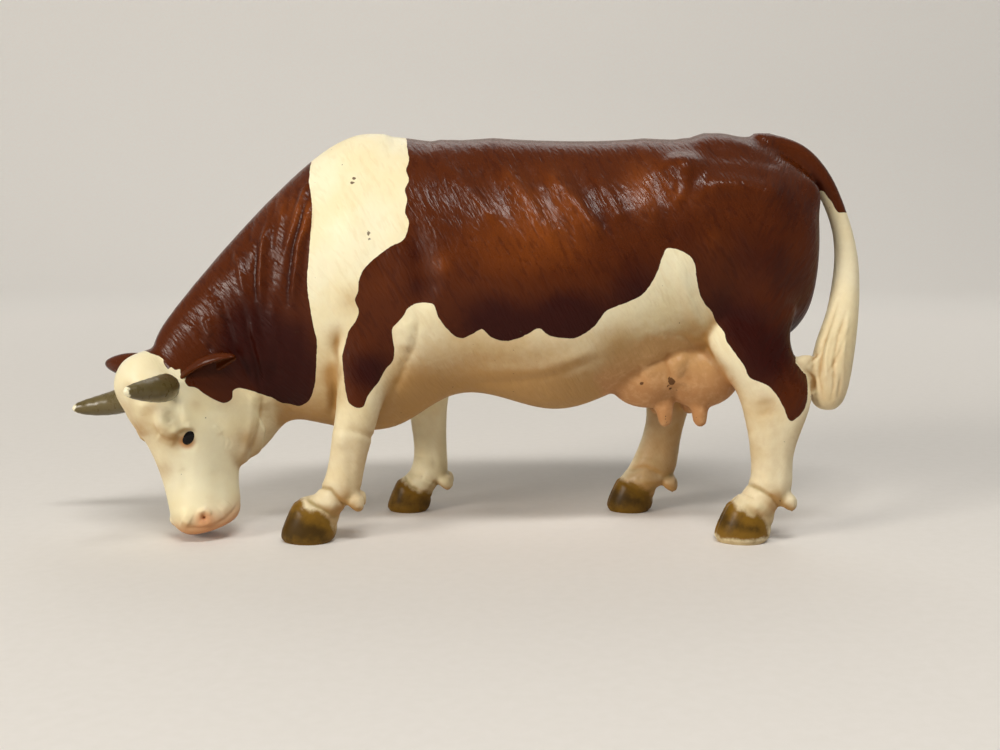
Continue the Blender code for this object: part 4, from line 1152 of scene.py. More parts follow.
def sculpt_hide(clay):
    """Pushes folds, bones and creases into the hide."""
    clay.polish(POLISH_ROUNDS)
    points = clay.points
    normals = clay.normals()
    near = points[:, 1] < 0
    on_head = head_room(points)
    places = head_places(points)
    shown = seen_px(points)
    mirrored = seen_px(points, far_side=True)

    # Folds of the trunk, where it faces the camera, and shallower ones on the far side
    towards = np.clip(0.5 + 1.2 * normals[:, 1] * np.sign(points[:, 1]), 0, 1)
    depth = fold_depth(mirrored, NEAR_FOLDS_PX) * np.where(near, 1.0, FAR_FOLD_SHARE)
    depth += np.where(near, fold_depth(mirrored, THROAT_FOLDS_PX), 0)
    depth = clay.relaxed(np.where(on_head, 0, depth * towards), 2)

    # Folds of the face on both of its sides, and not on the throat behind it
    outwards = (normals * np.array(head_axes()[2])).sum(1) * np.sign(places[:, 1])
    sideways = clay.relaxed(ramp(outwards, -0.5, 0.1), 4)
    off_throat = ramp(places[:, 2] / HEAD_DEPTH, -1.25, -1.05)
    depth += fold_depth(seen_px(on_near_half(points, places)), FACE_FOLDS_PX) * sideways * off_throat

    # Legs and hooves, and the udder and the tail, whose own folds take the place of the trunk's
    for name, room in leg_rooms(points).items():
        depth += room * leg_depth(name, points)
        depth += lower_leg(name, points) * fold_depth(shown, LEG_FOLDS_PX[name])
    by_udder = clay.relaxed(ramp(udder_reach(points), -4.6, -2.2), 4)
    depth = depth * (1 - by_udder) + fold_depth(mirrored, UDDER_FOLDS_PX) * by_udder
    by_tail = clay.relaxed(ramp(tail_reach(points), -0.6, 0.1), 2)
    depth = depth * (1 - by_tail) + fold_depth(shown, TAIL_FOLDS_PX) * by_tail

    # The line of the back, on all that faces up
    upwards = clay.relaxed(ramp(normals[:, 2], -0.1, 0.5), 4)
    depth += fold_depth(mirrored, BACK_FOLDS_PX) * upwards * ~on_head
    clay.push(depth)
    clay.polish(2)

    # The tail's root runs smoothly into the rump
    root = np.array(trunk_point(*TAIL_ROOT_SHARES))
    from_root = np.linalg.norm(points - root, axis=1) / TAIL_BLEND_REACH
    blended = clay.relaxed(clay.points, TAIL_BLEND_STEPS) - clay.points
    clay.points += blended * ramp(from_root, 1.0, 0.5)[:, None]


def limb_reach(name, points):
    """How far inside a leg's own cage each point lies, as a share of its half width."""
    side = side_of(name)
    height, x, depth, width, out = np.array(sorted(LEG_SHARES[name])).T
    level = points[:, 2] / BACK_HEIGHT
    ahead = points[:, 0] - CHEST_X - np.interp(level, height, x) * TRUNK_LENGTH
    beside = points[:, 1] - side * np.interp(level, height, out) * STANCE_WIDTH / 2
    ahead /= np.interp(level, height, depth) * CANNON_DEPTH / 2
    beside /= np.interp(level, height, width) * CANNON_WIDTH / 2
    return 1 - np.hypot(ahead, beside)


def lower_leg(name, points):
    """The lower leg and a little above its seam, so that folds run on across it."""
    side = side_of(name)
    fore = points[:, 0] < CHEST_X + TRUNK_LENGTH / 2
    beside = side * points[:, 1] > LEG_ROOM_SHARE * STANCE_WIDTH / 2
    return beside & (fore == ("fore" in name)) & (points[:, 2] < LEG_FOLD_TOP)


HOOF_CLEFT_MM = 0.38


def leg_depth(name, points):
    """The cleft, the rim of the hoof and the tendon grooves of one leg."""
    side = side_of(name)
    place, size = HOOF_PLACE_SHARES[name]
    x = (points[:, 0] - CHEST_X - place * TRUNK_LENGTH) / (HOOF_LENGTH * size)
    z = points[:, 2] / (HOOF_HEIGHT * size)
    y = (points[:, 1] - side * STANCE_WIDTH / 2) / MM
    ends = ramp(x, -0.10, -0.34) * 0.9 + ramp(x, 0.22, 0.4) * 0.5
    cleft = np.exp(-((y / HOOF_CLEFT_MM) ** 2)) * ramp(z, 1.30, 1.0) * ends
    rim_height = z + 0.95 * x
    rim = np.exp(-(((rim_height - 0.88) / 0.10) ** 2)) * ramp(z, 0.15, 0.35)
    bulge = np.exp(-(((rim_height - 1.18) / 0.20) ** 2))
    sole = np.exp(-(((z - 0.05) / 0.05) ** 2))
    return (-cleft - 0.16 * rim + 0.16 * bulge - 0.10 * sole) * MM


# How many millimetres of the near side one pixel of the photograph shows
MM_PER_PX = (-CAMERA_PLACE.y - BARREL_WIDTH / 2) / FOCAL_PX / MM

# Heights between which painted tan shade darkens the cream down the legs, and stops again at the soles;
# and drops on the tail, down which its painted shade deepens
LEG_PAINTED_SHADE_SPAN = (0.045, 0.010)
SOLE_PALE_SPAN = (0.001, 0.003)
TAIL_PAINTED_SHADE_SPAN = (0.030, 0.045)
EYE_SIDE_SPAN = (0.003, 0.005)
HOOF_PAINT_TOP = LEG_FOLD_TOP / 3


def on_tail(points):
    return (tail_reach(points) > 0) & (limb_reach("left_hindleg", points) < 0)


def tail_drop(points):
    return trunk_point(*TAIL_ROOT_SHARES).z - points[:, 2]


def underneath(normals):
    return ramp(-normals[:, 2], -0.25, 0.95)


def coat_field(clay, normals, mirrored, facing):
    """Millimetres inside the brown paint: its outlines on both sides, and a band round the tail's root."""
    points = clay.points
    on_head = head_room(points)
    near = points[:, 1] < 0
    left_of_head = clay.relaxed((head_places(points)[:, 1] > 0).astype(float), 6) > 0.5
    place = np.where(on_head[:, None], facing, mirrored)
    neck = inside_distance(place, NECK_PATCH_PX)
    far_neck = inside_distance(place, FAR_NECK_PATCH_PX)
    neck = np.where(np.where(on_head, left_of_head, near), neck, far_neck)
    barrel = inside_distance(mirrored, BARREL_PATCH_PX)
    far_barrel = inside_distance(mirrored, FAR_BARREL_PATCH_PX)
    barrel = np.where(near, barrel, far_barrel)
    coat = np.maximum(neck, np.where(on_head, OUTSIDE, barrel)) * MM_PER_PX
    inner = ramp(-normals[:, 0], 0.1, 0.6)
    tail_coat = (TAIL_BROWN_SHARE * TAIL_DROP - tail_drop(points)) / MM - TAIL_INNER_RISE_MM * inner
    return np.where(on_tail(points), tail_coat, coat)


def painted_tan_shade_field(clay, normals, mirrored, facing, fine):
    """Painted tan shade on the cream: more underneath, in broad hollows, at spots of the photo, down legs
    and tail.
    """
    points = clay.points
    on_head = head_room(points)
    tan = 0.75 * underneath(normals) + 0.9 * ramp(clay.hollows(BROAD_HOLLOW_ROUNDS), 0.10, 0.9)
    body = np.where(points[:, 1] < 0, 1.0, 0.6) * ~on_head
    for amount, radius, centre in CREAM_PAINTED_SHADE_PX:
        tan += body * amount * spot(mirrored, centre, radius)
    for amount, radius, centre in HEAD_PAINTED_SHADE_PX:
        tan += on_head * amount * spot(facing, centre, radius)
    behind_head = points[:, 0] > LEGS_START
    far_legs = (points[:, 1] > 0) & (points[:, 2] < LOWER_LEG_TOP) & behind_head
    # The far hind legs get painted shade on the faces turned to the near side; the far forelegs less, as
    # painted light
    tan += 0.35 * (far_legs & (points[:, 0] > 0)) * ramp(-normals[:, 1], 0.1, 0.9)
    tan -= 0.25 * (far_legs & (points[:, 0] < 0))
    # Painted shade down the legs, which stops at the soles
    tan += 0.36 * ramp(points[:, 2], *LEG_PAINTED_SHADE_SPAN) * ramp(points[:, 2], *SOLE_PALE_SPAN) * behind_head
    # The tail has a tan of its own, with painted shade in its hollows and lower down
    tail_tan_and_shade = 0.30 + 0.45 * ramp(fine, -0.02, 0.14) + 0.2 * ramp(tail_drop(points), *TAIL_PAINTED_SHADE_SPAN)
    return clay.relaxed(np.clip(np.where(on_tail(points), tail_tan_and_shade, tan), 0, 1.2), 3)


def painted_light_and_shade_field(clay, normals, mirrored):
    """Painted light and shade on the brown: above zero it is painted lighter and warmer, below zero deeper,
    as painted shade underneath, and at spots read off the photo.
    """
    tone = -0.5 * underneath(normals)
    side = np.where(clay.points[:, 1] < 0, 1.0, 0.7)
    for amount, radius, centre in BROWN_PAINTED_LIGHT_AND_SHADE_PX:
        tone += side * amount * spot(mirrored, centre, radius)
    return clay.relaxed(tone, 2)


def hoof_field(points):
    """Millimetres inside the olive paint of the hooves, whose outlines the camera sees on each leg."""
    shown = seen_px(points)
    hoof = np.full(len(points), OUTSIDE)
    for name in LEG_SHARES:
        painted = inside_distance(shown, HOOF_PX[name]) * MM_PER_PX
        hoof = np.where(lower_leg(name, points) & (points[:, 2] < HOOF_PAINT_TOP), painted, hoof)
    return hoof


def udder_field(clay, mirrored):
    """Millimetres inside the udder's spray, which stops where the hind legs come out of it."""
    points = clay.points
    sprayed = np.minimum(inside_distance(mirrored, UDDER_PX) * MM_PER_PX, udder_reach(points) + 6.0)
    for name, width in (("left_hindleg", 0.80), ("right_hindleg", 1.12)):
        sprayed = np.minimum(sprayed, -(limb_reach(name, points) + width - 1) * 6)
    return clay.relaxed(sprayed, 4)


def hide_fields(clay):
    """Signed distances and weights, one value for each vertex, that the paint reads."""
    points = clay.points
    normals = clay.normals()
    on_head = head_room(points)
    places = head_places(points)
    mirrored = seen_px(points, far_side=True)
    facing = seen_px(on_near_half(points, places))
    fine = clay.hollows(FINE_HOLLOW_ROUNDS)

    hoof = hoof_field(points)
    fetlock = np.exp(-(((hoof + 1.0) / 1.1) ** 2)) + 0.7 * np.exp(-(((hoof + 4.6) / 1.3) ** 2))
    muzzle = on_head * ramp(places[:, 0] / HEAD_LENGTH, 0.70, 1.04)
    muzzle += on_head * 0.45 * spot(facing, NOSTRIL_PX, 8.0)
    muzzle = clay.relaxed(np.clip(muzzle, 0, 1), 2)
    ring = spot(facing, (EYE_PX[0] - 1.5, EYE_PX[1] + 2.5), 9.5)
    low = ramp(points[:, 2], LEG_FOLD_TOP, LEG_FOLD_TOP / 2)
    hair = 1 - 0.55 * on_head - 0.70 * on_tail(points) - 0.5 * low
    return {
        "coat": coat_field(clay, normals, mirrored, facing),
        "hollow": fine,
        "tan": painted_tan_shade_field(clay, normals, mirrored, facing, fine),
        "tone": painted_light_and_shade_field(clay, normals, mirrored),
        "handled": clay.relaxed(ramp(normals[:, 2], -0.25, 0.35), 4),
        "hoof": hoof,
        # The band above the hoof is painted, and laid more strongly in the hollows as painted shade
        "fetlock": clay.relaxed(fetlock * (0.3 + 0.7 * ramp(fine, -0.03, 0.05)), 2),
        "udder": udder_field(clay, mirrored),
        "muzzle": muzzle,
        "hair": clay.relaxed(hair * (hoof < 0) * (1 - muzzle), 4),
        "eye_ring": on_head * ring * ramp(np.abs(places[:, 1]), *EYE_SIDE_SPAN),
        "haunch": ramp(mirrored[:, 0], 742, 772),
        "neck": ramp(mirrored[:, 0], 345, 305),
    }


def parted(clay, fields):
    """Parts the hide into one object for each node of the frame, with shared normals at the seams."""
    normals = clay.normals()
    centres = clay.points[clay.faces].mean(axis=1)
    owner = np.full(len(clay.faces), "trunk", dtype=object)
    owner[head_room(centres)] = "head"
    for name, room in leg_rooms(centres).items():
        owner[room] = name
    owner[(owner == "trunk") & (udder_reach(centres) > 0)] = "udder"
    owner[tail_reach(centres) > 0] = "tail"
    pieces = {}
    for name in ["trunk", "head", "udder", "tail", *LEG_SHARES]:
        faces = clay.faces[owner == name]
        kept, index = np.unique(faces, return_inverse=True)
        pieces[name] = piece_from(
            name + "_hide",
            clay.points[kept],
            index.reshape(-1, 3),
            normals[kept],
            {key: values[kept] for key, values in fields.items()},
        )
    return pieces


def piece_from(name, points, faces, normals, fields):
    """A finished piece from arrays, moved into the frame, with its fields as attributes."""
    mesh = bpy.data.meshes.new(name)
    low, high = (np.array(corner) for corner in CAD_BOX)
    placed = np.clip(points + np.array(ORIGIN_SHIFT), low, high)
    mesh.from_pydata(placed.tolist(), [], faces.tolist())
    mesh.update()
    mesh.shade_smooth()
    mesh.normals_split_custom_set_from_vertices(normals.tolist())
    for key, values in fields.items():
        layer = mesh.attributes.new(key, "FLOAT", "POINT")
        layer.data.foreach_set("value", np.ascontiguousarray(values, dtype=np.float32))
    obj = bpy.data.objects.new(name, mesh)
    bpy.context.scene.collection.objects.link(obj)
    return obj


def piece_of(name, clay, fields):
    """A finished piece of a whole sculpted form, whose own object it replaces."""
    bpy.data.objects.remove(clay.obj, do_unlink=True)
    return piece_from(name, clay.points, clay.faces, clay.normals(), fields)


# Horns, ears and eyes

# A hand-cut horn is a little uneven: waves in radians for each metre along x, y and z, and their height
HORN_WAVES = (3100.0, 2300.0, 1700.0)
HORN_UNEVEN = 0.02 * MM

# Ears: the radius and wall of the curl, half its turn, its rings and where its hollow opens
EAR_CURL = 0.0020
EAR_WALL = 0.0008
EAR_SWEEP = math.radians(112)
EAR_OVAL = 1.2
EAR_EDGE_POINTS = 8
EAR_LEAF_SHARES = (
    (-0.20, 0.70), (0.02, 0.84), (0.24, 1.04), (0.48, 1.06), (0.72, 0.84), (0.90, 0.52), (1.0, 0.24),
)
LEFT_EAR_OPENING = (0.0, -0.38, -0.92)
RIGHT_EAR_OPENING = (-0.25, 0.90, 0.20)

# Eyes: short and long radius and height, and how far each dome is sunk
EYE_SIZE = (0.00101, 0.00140, 0.00062)
EYE_SINK = 0.00028


def horn(name, side):
    """A tapered shell that curves out, ahead and up."""
    root = head_point(HORN_ROOT_SHARES[0], side * HORN_ROOT_SHARES[1], HORN_ROOT_SHARES[2])
    along, left, face = head_axes()[1:]
    path = [
        root + (left * side * out + face * ahead - along * up) * HORN_LENGTH
        for out, ahead, up in HORN_RUN_SHARES
    ]
    radii = [HORN_WIDTH / 2 * share for share in HORN_TAPER_SHARES]
    clay = Clay(tapered(name, path, radii, count=12, levels=4))
    where = line_distance(clay.points, np.array(path))[1]
    clay.push(np.sin(clay.points @ np.array(HORN_WAVES)) * HORN_UNEVEN)
    return piece_of(name + "_shell", clay, {"along": where})


def ear(name, side, root_shares, point_shares, opening):
    """A curled leaf: each ring runs round the outside of the curl and back along the inside."""
    along, left, face = head_axes()[1:]
    root = head_point(root_shares[0], side * root_shares[1], root_shares[2])
    up, out, ahead = point_shares
    run = (along * up + left * side * out + face * ahead).normalized()
    away = -(Vector(opening) - run * run.dot(Vector(opening))).normalized()
    across = run.cross(away)
    rings = []
    for distance, radius_share in EAR_LEAF_SHARES:
        radius = radius_share * EAR_CURL
        wall = min(EAR_WALL, radius * 0.45)
        centre = root + run * (distance * EAR_LENGTH) + away * (radius - EAR_CURL) * 0.5
        ring = []
        for turn, reach in ((1, radius), (-1, radius - wall)):
            for k in range(EAR_EDGE_POINTS):
                angle = turn * EAR_SWEEP * (2 * k / (EAR_EDGE_POINTS - 1) - 1)
                ring.append(centre + (away * math.cos(angle) + across * math.sin(angle) * EAR_OVAL) * reach)
        rings.append(ring)
    clay = Clay(softened(loft(name, rings)))
    return piece_of(name + "_leaf", clay, ear_fields(clay))


def ear_fields(clay):
    """The hide's fields on an ear: brown all over, with the neck's hair in it."""
    even = {"coat": 3.0, "handled": 1.0, "neck": 1.0, "hair": 0.3, "hoof": OUTSIDE, "udder": OUTSIDE}
    even.update(dict.fromkeys(("tan", "tone", "fetlock", "muzzle", "eye_ring", "haunch"), 0.0))
    fields = {name: np.full(len(clay.points), value) for name, value in even.items()}
    fields["hollow"] = clay.hollows(8)
    return fields


def eye(name, side, clay):
    """A small glossy dome let into its socket, where the camera sees it or where its mirror image is."""
    along, left, face = (np.array(axis) for axis in head_axes()[1:])
    places = head_places(clay.points)
    shown = seen_px(on_near_half(clay.points, places))
    normals = clay.normals()
    out = (normals * left).sum(axis=1) * side
    wrong = (out < 0.3) | (np.sign(places[:, 1]) != side) | ~head_room(clay.points)
    gap = np.linalg.norm(shown - np.array(EYE_PX), axis=1) + wrong * FAR_AWAY
    nearest = np.argsort(gap)[:12]
    centre = clay.points[nearest].mean(axis=0)
    normal = normals[nearest].mean(axis=0)
    normal /= np.linalg.norm(normal)
    long_axis = -along * 0.65 - face * 0.55
    long_axis -= normal * (long_axis @ normal)
    long_axis /= np.linalg.norm(long_axis)
    short_axis = np.cross(normal, long_axis)
    turn = Matrix((short_axis, long_axis, normal)).transposed().to_4x4()
    sunk = Vector(centre) - Vector(normal) * EYE_SINK + ORIGIN_SHIFT
    dome = ball_form(Matrix.Translation(sunk) @ turn @ Matrix.Diagonal((*EYE_SIZE, 1)), BALL_FINENESS)
    dome.name = name
    dome.data.shade_smooth()
    return dome


# Materials

SMOOTH = {"interpolation_type": "SMOOTHSTEP"}
TINT = {"data_type": "RGBA"}

# How many of each pattern a metre holds, from real sizes: thin places in the paint are 11 mm wide, dabs of
# the brush 1.4 mm, the waver of a painted edge 1.8 mm, lumps left by the mould 1.1 mm, dirt specks under
# 0.8 mm, the horns' paint strokes 1.25 mm, clouds in the enamel 0.5 mm and pulp in the paper 2 mm.
PER_MM = 1 / MM
BLOTCHES = 0.09 * PER_MM
DABS = 0.7 * PER_MM
WAVERS = 0.55 * PER_MM
LUMPS = 0.9 * PER_MM
SPECKS = 1.3 * PER_MM
HORN_STROKES = 0.8 * PER_MM
ENAMEL_CLOUDS = 2.0 * PER_MM
PULP = 0.5 * PER_MM

# Hair, across and along: locks, and between them the strokes. Real strokes are 0.2 to 0.5 mm apart: they are
# drawn 0.5 mm apart, as fine as a picture of 1000 pixels holds.
HAIR_PITCH_MM = ((1.2, 4.5), (0.48, 2.2))
FINE_HAIR_SHARE = 0.75
HAIR_TURN_DEG = 30
HAIR_TURNS_DEG = (("haunch", -30), ("neck", 45))

# Depths of the hair, of the lumps and of a fleck's ragged edge
HAIR_DEPTH = 0.07 * MM
LUMP_DEPTH = 0.05 * MM
SCUFF_WOBBLE = 0.9 * MM
SCUFF_EDGE = 0.05 * MM

# Heights over the ground: the udder's lower half, and the ends of its teats
UDDER_PINK_SPAN = (0.036, 0.026)
TEAT_END_SPAN = (0.0205, 0.0185)

# How far light runs in soft PVC, for red, green and blue
PVC_GLOW = (0.0012, 0.0008, 0.0005)


def new_material(name):
    material = bpy.data.materials.new(name)
    material.use_nodes = True
    tree = material.node_tree
    return material, tree, tree.nodes["Principled BSDF"].inputs


def add(tree, kind, inputs=(), output=0, **settings):
    """Adds a node with its settings, values and links, and gives one of its outputs."""
    node = tree.nodes.new("ShaderNode" + kind)
    for key, value in settings.items():
        setattr(node, key, value)
    for key, value in inputs.items() if isinstance(inputs, dict) else enumerate(inputs):
        if isinstance(value, bpy.types.NodeSocket):
            tree.links.new(value, node.inputs[key])
        else:
            node.inputs[key].default_value = linear(value) if isinstance(value, str) else value
    return node.outputs[output]


def tinted(tree, colour, layers):
    """Lays thin coats of colour one on another: each is laid where its value runs from low to high."""
    for value, low, high, most, code in layers:
        amount = add(tree, "MapRange", (value, low, high, 0.0, most), **SMOOTH)
        colour = add(tree, "Mix", {0: amount, 6: colour, 7: code}, 2, **TINT)
    return colour


def engraved_hair(tree, place, turn_deg):
    """Locks about a millimetre wide with finer hair between them, both along one direction."""
    locks = []
    for across_mm, along_mm in HAIR_PITCH_MM:
        turn = (0, math.radians(turn_deg), 0)
        turned = add(tree, "Mapping", {"Vector": place, "Rotation": turn})
        pitch = [1 / (step * MM) for step in (across_mm, along_mm, along_mm)]
        drawn = add(tree, "Mapping", {"Vector": turned, "Scale": pitch})
        grain = {"Vector": drawn, "Scale": 1.0, "Detail": 1.5, "Roughness": 0.55, "Distortion": 0.35}
        lines = add(tree, "TexNoise", grain)
        locks.append(add(tree, "MapRange", (lines, 0.25, 0.75), **SMOOTH))
    return add(tree, "Math", (locks[1], FINE_HAIR_SHARE, locks[0]), operation="MULTIPLY_ADD")


def scuff_places(clay):
    """Where the flecks sit on the near side, in the frame, and how wide each is."""
    shown = seen_px(clay.points)
    for radius, centre in SCUFFS_PX:
        gap = np.linalg.norm(shown - np.array(centre), axis=1) + (clay.points[:, 1] > 0) * FAR_AWAY
        nearest = np.argsort(gap)[:8]
        front = nearest[np.argmin(clay.points[nearest, 1])]
        yield radius * MM, Vector(clay.points[front]) + ORIGIN_SHIFT


def hide_material(scuffs):
    """Soft PVC in cream, with red-brown paint brushed on: satin, with engraved hair that catches light."""
    material, tree, shader = new_material("soft PVC hide with brushed-on coat paint")
    place = add(tree, "TexCoord", output="Object")
    height = add(tree, "SeparateXYZ", (place,), "Z")
    names = "coat hollow tan tone handled hoof fetlock udder muzzle eye_ring haunch neck hair"
    read = {name: add(tree, "Attribute", output="Fac", attribute_name=name) for name in names.split()}

    # Thin places in the paint, dabs of the brush, and the waver of its edge
    blotch = add(tree, "TexNoise", {"Vector": place, "Scale": BLOTCHES, "Detail": 3.0, "Roughness": 0.55})
    mottle = add(tree, "TexNoise", {"Vector": place, "Scale": DABS, "Detail": 4.0, "Roughness": 0.6})
    waver = add(tree, "TexNoise", {"Vector": place, "Scale": WAVERS, "Detail": 3.0, "Roughness": 0.6})
    waver = add(tree, "Math", (waver, 0.5), operation="SUBTRACT")

    # One direction of hair for the barrel, others for the buttock and the neck
    hair = engraved_hair(tree, place, HAIR_TURN_DEG)
    for name, turn_deg in HAIR_TURNS_DEG:
        hair = add(tree, "Mix", {0: read[name], 2: hair, 3: engraved_hair(tree, place, turn_deg)})
    groove = add(tree, "MapRange", (hair, 0.85, 0.35, 0.0, read["hair"]))

    # Cream plastic: faint yellowing, then tan painted shade underneath, in broad hollows and down the legs,
    # a wash in the hair, and darker painted shade in the creases
    shaded_tan_amount = add(tree, "Math", (mottle, 0.22, read["tan"]), operation="MULTIPLY_ADD")
    cream_layers = (
        (blotch, 0.35, 0.7, 0.55, CREAM_AGED_HEX),
        (shaded_tan_amount, 0.10, 1.15, 0.92, TAN_SHADE_HEX),
        (groove, 0.0, 1.0, 0.10, CREAM_GROOVE_HEX),
        (read["hollow"], 0.015, 0.16, 0.5, CREAM_CREASE_SHADE_HEX),
    )
    cream = tinted(tree, linear(CREAM_HEX), cream_layers)

    # Tan-pink spray on the udder, deeper below, with painted shade in its creases and paler teat ends
    udder_layers = (
        (height, *UDDER_PINK_SPAN, 1.0, UDDER_PINK_HEX),
        (mottle, 0.42, 0.75, 0.5, UDDER_LIGHT_HEX),
        (read["hollow"], 0.01, 0.14, 0.6, UDDER_CREASE_SHADE_HEX),
        (height, *TEAT_END_SPAN, 0.6, TEAT_END_HEX),
    )
    udder = tinted(tree, linear(UDDER_HEX), udder_layers)
    sprayed = add(tree, "Math", (waver, 2.4, read["udder"]), operation="MULTIPLY_ADD")
    cream = tinted(tree, cream, ((sprayed, -0.9, 1.2, 1.0, udder),))

    # Brown paint with painted light and shade: lighter and warmer where lit, on ridges and in thin patches,
    # deep below and at shaded spots, darkest in creases; a wash in the hair's grooves
    tone = add(tree, "Math", (blotch, 0.8, read["tone"]), operation="MULTIPLY_ADD")
    lit_and_thin = add(tree, "Math", (read["hollow"], -1.8, tone), operation="MULTIPLY_ADD")
    brown_layers = (
        (tone, -0.35, 0.45, 1.0, BROWN_HEX),
        (lit_and_thin, 0.45, 1.40, 0.85, LIT_AND_THIN_BROWN_HEX),
        (read["hollow"], 0.015, 0.16, 0.7, BROWN_CREASE_SHADE_HEX),
        (groove, 0.05, 1.1, 0.32, BROWN_SHADE_AND_WASH_HEX),
    )
    brown = tinted(tree, linear(BROWN_SHADE_AND_WASH_HEX), brown_layers)

    # The coat's edge wavers by a sixth of a millimetre; olive hooves run up softly, painted wet on the cream
    edge = add(tree, "Math", (waver, 0.35, read["coat"]), operation="MULTIPLY_ADD")
    coat = add(tree, "MapRange", (edge, -0.05, 0.05), **SMOOTH)
    hoof_edge = add(tree, "Math", (waver, 1.6, read["hoof"]), operation="MULTIPLY_ADD")
    hoof_depth = add(tree, "Math", (mottle, 3.0, read["hoof"]), operation="MULTIPLY_ADD")
    hoof = tinted(tree, linear(HOOF_HEX), ((hoof_depth, 1.9, 4.6, 0.9, HOOF_DARK_HEX),))

    # Specks of dirt, and flecks with a ragged edge round the places that the photo shows
    dirt = add(tree, "TexNoise", {"Vector": place, "Scale": SPECKS, "Detail": 1.0})
    fleck = add(tree, "MapRange", (mottle, 0.0, 1.0, -SCUFF_WOBBLE, SCUFF_WOBBLE))
    beside = 1.0
    for radius, centre in scuffs:
        away = add(tree, "VectorMath", (place, centre), "Value", operation="DISTANCE")
        away = add(tree, "Math", (away, radius), operation="SUBTRACT")
        beside = add(tree, "Math", (beside, away), operation="MINIMUM")
    fleck = add(tree, "Math", (beside, fleck), operation="ADD")

    layers = (
        (coat, 0.0, 1.0, 1.0, brown),
        # A painted band above the hooves, stronger in creases as painted shade
        (read["fetlock"], 0.0, 1.0, 0.7, HOOF_BRIM_HEX),
        (hoof_edge, -0.5, 0.5, 1.0, hoof),
        (read["muzzle"], 0.05, 0.7, 0.85, MUZZLE_HEX),
        # Painted shade at the lips and round the nostril
        (read["muzzle"], 0.6, 1.0, 0.6, MUZZLE_SHADE_HEX),
        (read["eye_ring"], 0.25, 0.95, 0.85, EYE_RING_HEX),
        (dirt, 0.795, 0.83, 0.8, SPECK_HEX),
        (fleck, SCUFF_EDGE, -SCUFF_EDGE, 0.85, SCUFF_HEX),
    )
    tree.links.new(tinted(tree, cream, layers), shader["Base Color"])

    # The hair is pressed deeper where it is painted brown, and low lumps run under it
    pressed = add(tree, "MapRange", (coat, 0.0, 1.0, 0.60, 1.0))
    pressed = add(tree, "Math", (pressed, read["hair"]), operation="MULTIPLY")
    lumps = add(tree, "TexNoise", {"Vector": place, "Scale": LUMPS, "Detail": 3.0, "Roughness": 0.55})
    bump = add(tree, "Bump", {"Strength": pressed, "Distance": HAIR_DEPTH, "Height": hair})
    bump = add(tree, "Bump", {"Strength": 0.5, "Distance": LUMP_DEPTH, "Height": lumps, "Normal": bump})
    tree.links.new(bump, shader["Normal"])

    # The back is polished by handling and the underside has stayed matt; bare plastic is duller than paint
    rough = add(tree, "MapRange", (mottle, 0.3, 0.75, 0.19, 0.29), **SMOOTH)
    for duller, value in ((0.10, coat), (0.22, read["handled"])):
        matt = add(tree, "MapRange", (value, 0.0, 1.0, duller, 0.0))
        rough = add(tree, "Math", (rough, matt), operation="ADD")
    tree.links.new(rough, shader["Roughness"])
    shader["Specular IOR Level"].default_value = 0.15
    shader["Subsurface Weight"].default_value = 0.06
    shader["Subsurface Radius"].default_value = PVC_GLOW
    shader["Subsurface Scale"].default_value = 1.0
    return material


def horn_material():
    """Grey-olive paint over cream PVC, smooth and half gloss; the tip is left bare, with a ragged edge."""
    material, tree, shader = new_material("grey olive horn paint over PVC")
    place = add(tree, "TexCoord", output="Object")
    mottle = add(tree, "TexNoise", {"Vector": place, "Scale": HORN_STROKES, "Detail": 4.0, "Roughness": 0.6})
    along = add(tree, "Attribute", output="Fac", attribute_name="along")
    ragged = add(tree, "Math", (mottle, 0.10, along), operation="MULTIPLY_ADD")
    layers = (
        (mottle, 0.35, 0.75, 0.35, HORN_WORN_HEX),
        (mottle, 0.55, 0.15, 0.25, HORN_DARK_HEX),
        (ragged, 0.995, 1.015, 1.0, CREAM_HEX),
    )
    tree.links.new(tinted(tree, linear(HORN_HEX), layers), shader["Base Color"])
    bump = add(tree, "Bump", {"Strength": 0.12, "Distance": LUMP_DEPTH, "Height": mottle})
    tree.links.new(bump, shader["Normal"])
    tree.links.new(add(tree, "MapRange", (mottle, 0.3, 0.7, 0.24, 0.36)), shader["Roughness"])
    shader["Specular IOR Level"].default_value = 0.40
    return material


def eye_material():
    """A drop of black gloss enamel, which stands up slightly and mirrors the light."""
    material, tree, shader = new_material("black gloss eye enamel")
    place = add(tree, "TexCoord", output="Object")
    cloud = add(tree, "TexNoise", {"Vector": place, "Scale": ENAMEL_CLOUDS, "Detail": 2.0})
    black = tinted(tree, linear(EYE_HEX), ((cloud, 0.4, 0.7, 1.0, EYE_CLOUD_HEX),))
    tree.links.new(black, shader["Base Color"])
    tree.links.new(add(tree, "MapRange", (cloud, 0.3, 0.7, 0.08, 0.16)), shader["Roughness"])
    shader["Specular IOR Level"].default_value = 0.18
    return material


def background_rays(tree):
    """One for the rays that see the background: straight, mirrored or through glass."""
    seen = 0.0
    for name in ("Is Camera Ray", "Is Glossy Ray", "Is Transmission Ray"):
        ray = add(tree, "LightPath", output=name)
        seen = add(tree, "Math", (seen, ray), operation="MAXIMUM")
    return seen


